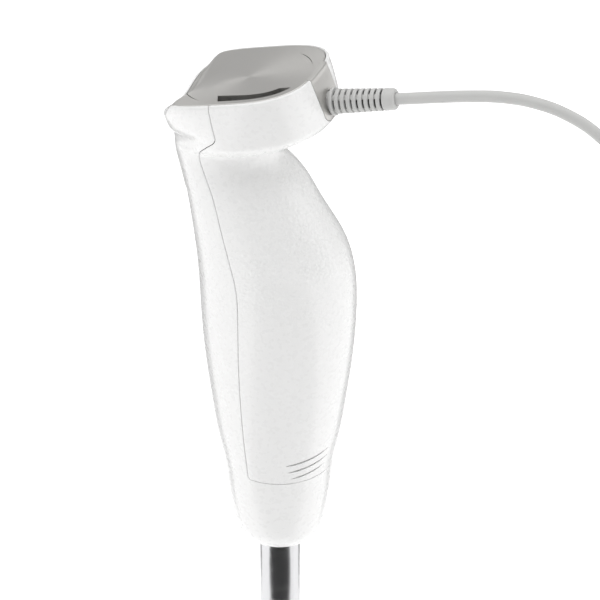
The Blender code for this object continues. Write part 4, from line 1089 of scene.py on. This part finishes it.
def make_arm(finish):
    """The polished tube, with its edges broken, and the spun bell with three arched windows."""
    low, high, inside = 43.0, NOSE + 31.0, TUBE_R - 0.9
    profile = rounded_profile([(TUBE_R, low), (TUBE_R, high), (inside, high), (inside, low)], 0.3)
    steel_piece("arm_tube", turned(profile, 128), "handle", finish)

    outer = [(BELL_R, 3.0), (BELL_R, 6.0), (BELL_R - 0.2, 11.0), (BELL_R - 0.9, 17.5), (BELL_R - 2.6, 24.0),
             (BELL_R - 6.6, 31.0), (BELL_R - 12.5, 36.5), (BELL_NECK + 3.6, 40.5), (BELL_NECK + 1.7, 44.6),
             (BELL_NECK + BELL_WALL, 48.0)]
    inner = [(BELL_NECK, 47.0), (BELL_NECK, 42.7), (BELL_NECK + 1.6, 39.6), (BELL_R - 13.2, 35.2),
             (BELL_R - 7.6, 29.9), (BELL_R - 3.9, 23.3), (BELL_R - 2.1, 16.6), (BELL_R - 1.4, 10.8),
             (BELL_R - BELL_WALL, 6.0), (BELL_R - BELL_WALL, 3.0)]
    top = rounded_profile([outer[-1], (BELL_NECK + BELL_WALL, 50.0), (BELL_NECK, 50.0), inner[0]],
                          0.45, 3, False)
    foot = rounded_profile([inner[-1], (BELL_R - BELL_WALL, 0.0), (BELL_R, 0.0), outer[0]], 0.5, 4, False)
    profile = smooth_row(outer, 4) + top[1:-1] + smooth_row(inner, 4) + foot[1:-1]
    bell = steel_piece("bell_guard", turned(profile, 160), "handle", finish)
    windows = []
    for k in range(3):
        arch = [(-11.0, -5.0), (11.0, -5.0)]
        arch += [(11.0 * cos(a), 7.0 + 7.0 * sin(a)) for a in (j * pi / 32 for j in range(33))]
        turn = Matrix.Rotation(radians(120.0 * k), 3, "Z")
        windows.append(prism([turn @ Vector((15.0, y, z)) for y, z in arch],
                             turn @ Vector((1, 0, 0)), 0.0, 30.0))
    combine(bell, windows, "DIFFERENCE")


def blade_point(along, across, top):
    """A point of the blade: along its length from -1 to 1, across from edge to edge."""
    a = abs(along) * BLADE_REACH
    near = float(np.interp(a, [0.0, 4.5, 12.0, 16.5, 23.0], [-4.2, -4.2, -4.6, -3.2, 0.6]))
    far = float(np.interp(a, [0.0, 4.5, 9.0, 14.5, 23.0], [4.2, 4.2, 4.4, 3.8, 3.4]))
    rise = 4.0 * float(ease((a - 9.0) / 14.0))
    grind = min(1.0, 0.18 + 4.5 * across) if a > 7.0 else 1.0
    z = rise - (0.0 if top else BLADE_THICK)
    if top:
        z -= BLADE_THICK * (1.0 - grind)
    y = near + (far - near) * across
    if along >= 0:
        return Vector((a, y, BLADE_AT + z))
    return Vector((-a, -y, BLADE_AT - 0.55 * rise + z - rise))


def make_blade(finish):
    """Drive shaft, hub, blade with two ground wings, and the nut that holds it."""
    shape = bmesh.new()
    lengths = [k / 24 - 1.0 for k in range(49)]
    widths = [0.0, 0.06, 0.12, 0.19, 0.35, 0.5, 0.65, 0.8, 0.93, 1.0]
    sheets = {}
    for top in (True, False):
        sheets[top] = [[shape.verts.new(blade_point(u, v, top)) for v in widths] for u in lengths]
    count = len(widths)
    for top, rows in sheets.items():
        for i, (a, b) in enumerate(zip(rows, rows[1:])):
            crossing = lengths[i] < 0.0 <= lengths[i + 1]
            for k in range(count - 1):
                far = [b[count - 1 - k], b[count - 2 - k]] if crossing else [b[k], b[k + 1]]
                shape.faces.new((a[k], far[0], far[1], a[k + 1]))
    over, under = sheets[True], sheets[False]
    for i in range(len(lengths) - 1):
        crossing = lengths[i] < 0.0 <= lengths[i + 1]
        for k in (0, count - 1):
            m = count - 1 - k if crossing else k
            shape.faces.new((over[i][k], over[i + 1][m], under[i + 1][m], under[i][k]))
    for i in (0, len(lengths) - 1):
        for k in range(count - 1):
            shape.faces.new((over[i][k], over[i][k + 1], under[i][k + 1], under[i][k]))
    blade = steel_piece("blade", shape, "drive", finish, 25.0)
    combine(blade, [turned([(2.3, 5.0), (2.3, 22.0)], 48, closed=False)], "DIFFERENCE", 25.0)

    hub = [(2.3, 15.6), (5.5, 15.6), (5.5, 17.0), (4.6, 24.0), (2.7, 24.0), (2.7, 17.3), (2.3, 17.3)]
    steel_piece("blade_hub", turned(rounded_profile(hub, 0.3), 72), "drive", finish)
    shaft = [(0.02, 10.0), (1.7, 10.0), (2.0, 10.3), (2.0, 17.6), (2.5, 17.6), (2.5, NOSE + 44.0),
             (0.02, NOSE + 44.0)]
    steel_piece("drive_shaft", turned(shaft, 48, closed=False), "drive", finish)

    rings = []
    for radius, limit, z in ((4.2, 3.75, 10.2), (4.2, 4.2, 10.55), (4.2, 4.2, 13.15), (4.2, 3.75, 13.5),
                             (2.3, 2.3, 13.5), (2.3, 2.3, 10.2)):
        points = []
        for k in range(48):
            angle = 2 * pi * k / 48
            flat = radius * cos(pi / 6) / cos(angle % (pi / 3) - pi / 6)
            r = 2.3 if radius < 3.0 else min(flat, limit)
            points.append(Vector((r * cos(angle), r * sin(angle), z)))
        rings.append(points)
    steel_piece("blade_nut", loft(rings, closed=True), "drive", finish)


def make_spring(finish):
    """The button's return spring, built as a fixed coil."""
    turns, per_turn, coil_r, wire_r, start, length = 4, 28, 4.6, 0.35, 5.4, 5.7
    rings = []
    for k in range(turns * per_turn + 1):
        angle = 2 * pi * k / per_turn
        out = ACROSS * cos(angle) + BUTTON_UP * sin(angle)
        middle = BUTTON_AT + BUTTON_IN * (start + length * k / (turns * per_turn)) + out * coil_r
        rings.append(round_points(middle, out, BUTTON_IN, wire_r, 10))
    spring = steel_piece("button_spring", loft(rings), "handle", finish, 60.0)
    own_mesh(spring)


# ---- the scene

make_camera()
cord = make_cord()
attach(cord, "handle")
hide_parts("power_cord", "cord_coil")

WHITE = white_plastic()
CAP = cap_metal()
SOFT = soft_plastic("soft_grey_vinyl", (0.56, 0.56, 0.55), 0.5)
PAD = soft_plastic("soft_touch_pad", (0.66, 0.66, 0.65), 0.55, 700.0, 0.04)
BLACK = soft_plastic("black_nylon", (0.03, 0.03, 0.03), 0.5)
POLISHED = steel("polished_steel", (0.72, 0.72, 0.72), 0.09, (8.0, 8.0, 1.0))
CAD_FINISHES = {
    "steel": steel("turned_steel", (0.62, 0.62, 0.63), 0.2, (4.0, 4.0, 30.0)),
    "iron": banded("punched_laminations", (0.26, 0.26, 0.27), 0.42, 1.0, 0.5, 0.06),
    "copper": banded("enamelled_wire", (0.62, 0.27, 0.12), 0.32, 0.9, 0.45, 0.12),
    "bronze": steel("sintered_bronze", (0.50, 0.35, 0.19), 0.4, (9.0, 9.0, 9.0), 0.03),
    "carbon": soft_plastic("pressed_carbon", (0.05, 0.05, 0.05), 0.75, 1600.0, 0.03),
    "nylon": soft_plastic("natural_nylon", (0.74, 0.72, 0.67), 0.45),
    "black_plastic": BLACK,
    "rubber": soft_plastic("black_rubber", (0.035, 0.035, 0.035), 0.72, 600.0, 0.05),
    "board_green": soft_plastic("circuit_board_green", (0.05, 0.24, 0.10), 0.42, 1200.0, 0.02),
    "capacitor_yellow": soft_plastic("capacitor_yellow_film", (0.72, 0.52, 0.08), 0.35),
    "brown_wire": soft_plastic("brown_sleeving", (0.20, 0.09, 0.05), 0.4),
    "blue_wire": soft_plastic("blue_sleeving", (0.05, 0.13, 0.42), 0.4),
    "relief_grey": SOFT,
    "soft_grey": PAD,
    "white_gloss": WHITE,
    "cap_grey": CAP,
}
for thing in bpy.data.objects:
    if "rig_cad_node" in thing and thing.type == "MESH":
        for k, used in enumerate(thing.data.materials):
            thing.data.materials[k] = next((made for slot, made in CAD_FINISHES.items()
                                            if used and used.name.startswith(slot)), BLACK)

front_shell, rear_shell = make_shells(WHITE)
skin = BVHTree.FromPolygons([v.co / MM - SHAFT for v in front_shell.data.vertices],
                            [tuple(p.vertices) for p in front_shell.data.polygons])
combine(front_shell, [button_window()], "DIFFERENCE")
combine(rear_shell, [tongue_block(GAP)] + [vent_shape(*v, side) for v in VENTS for side in (1, -1)],
        "DIFFERENCE")
make_cap(CAP)
make_button(PAD, skin)
# The relief's second finish, dark grey, is painted shade for its deep grooves.
make_relief(SOFT, soft_plastic("relief_gap_grey", (0.10, 0.10, 0.10), 0.7))
plug_pieces = make_plug(SOFT, POLISHED, BLACK)
tie = make_tie(BLACK)
make_arm(CAD_FINISHES["steel"])
make_blade(CAD_FINISHES["steel"])
make_spring(CAD_FINISHES["steel"])
cord.data.materials.append(SOFT)
make_studio()
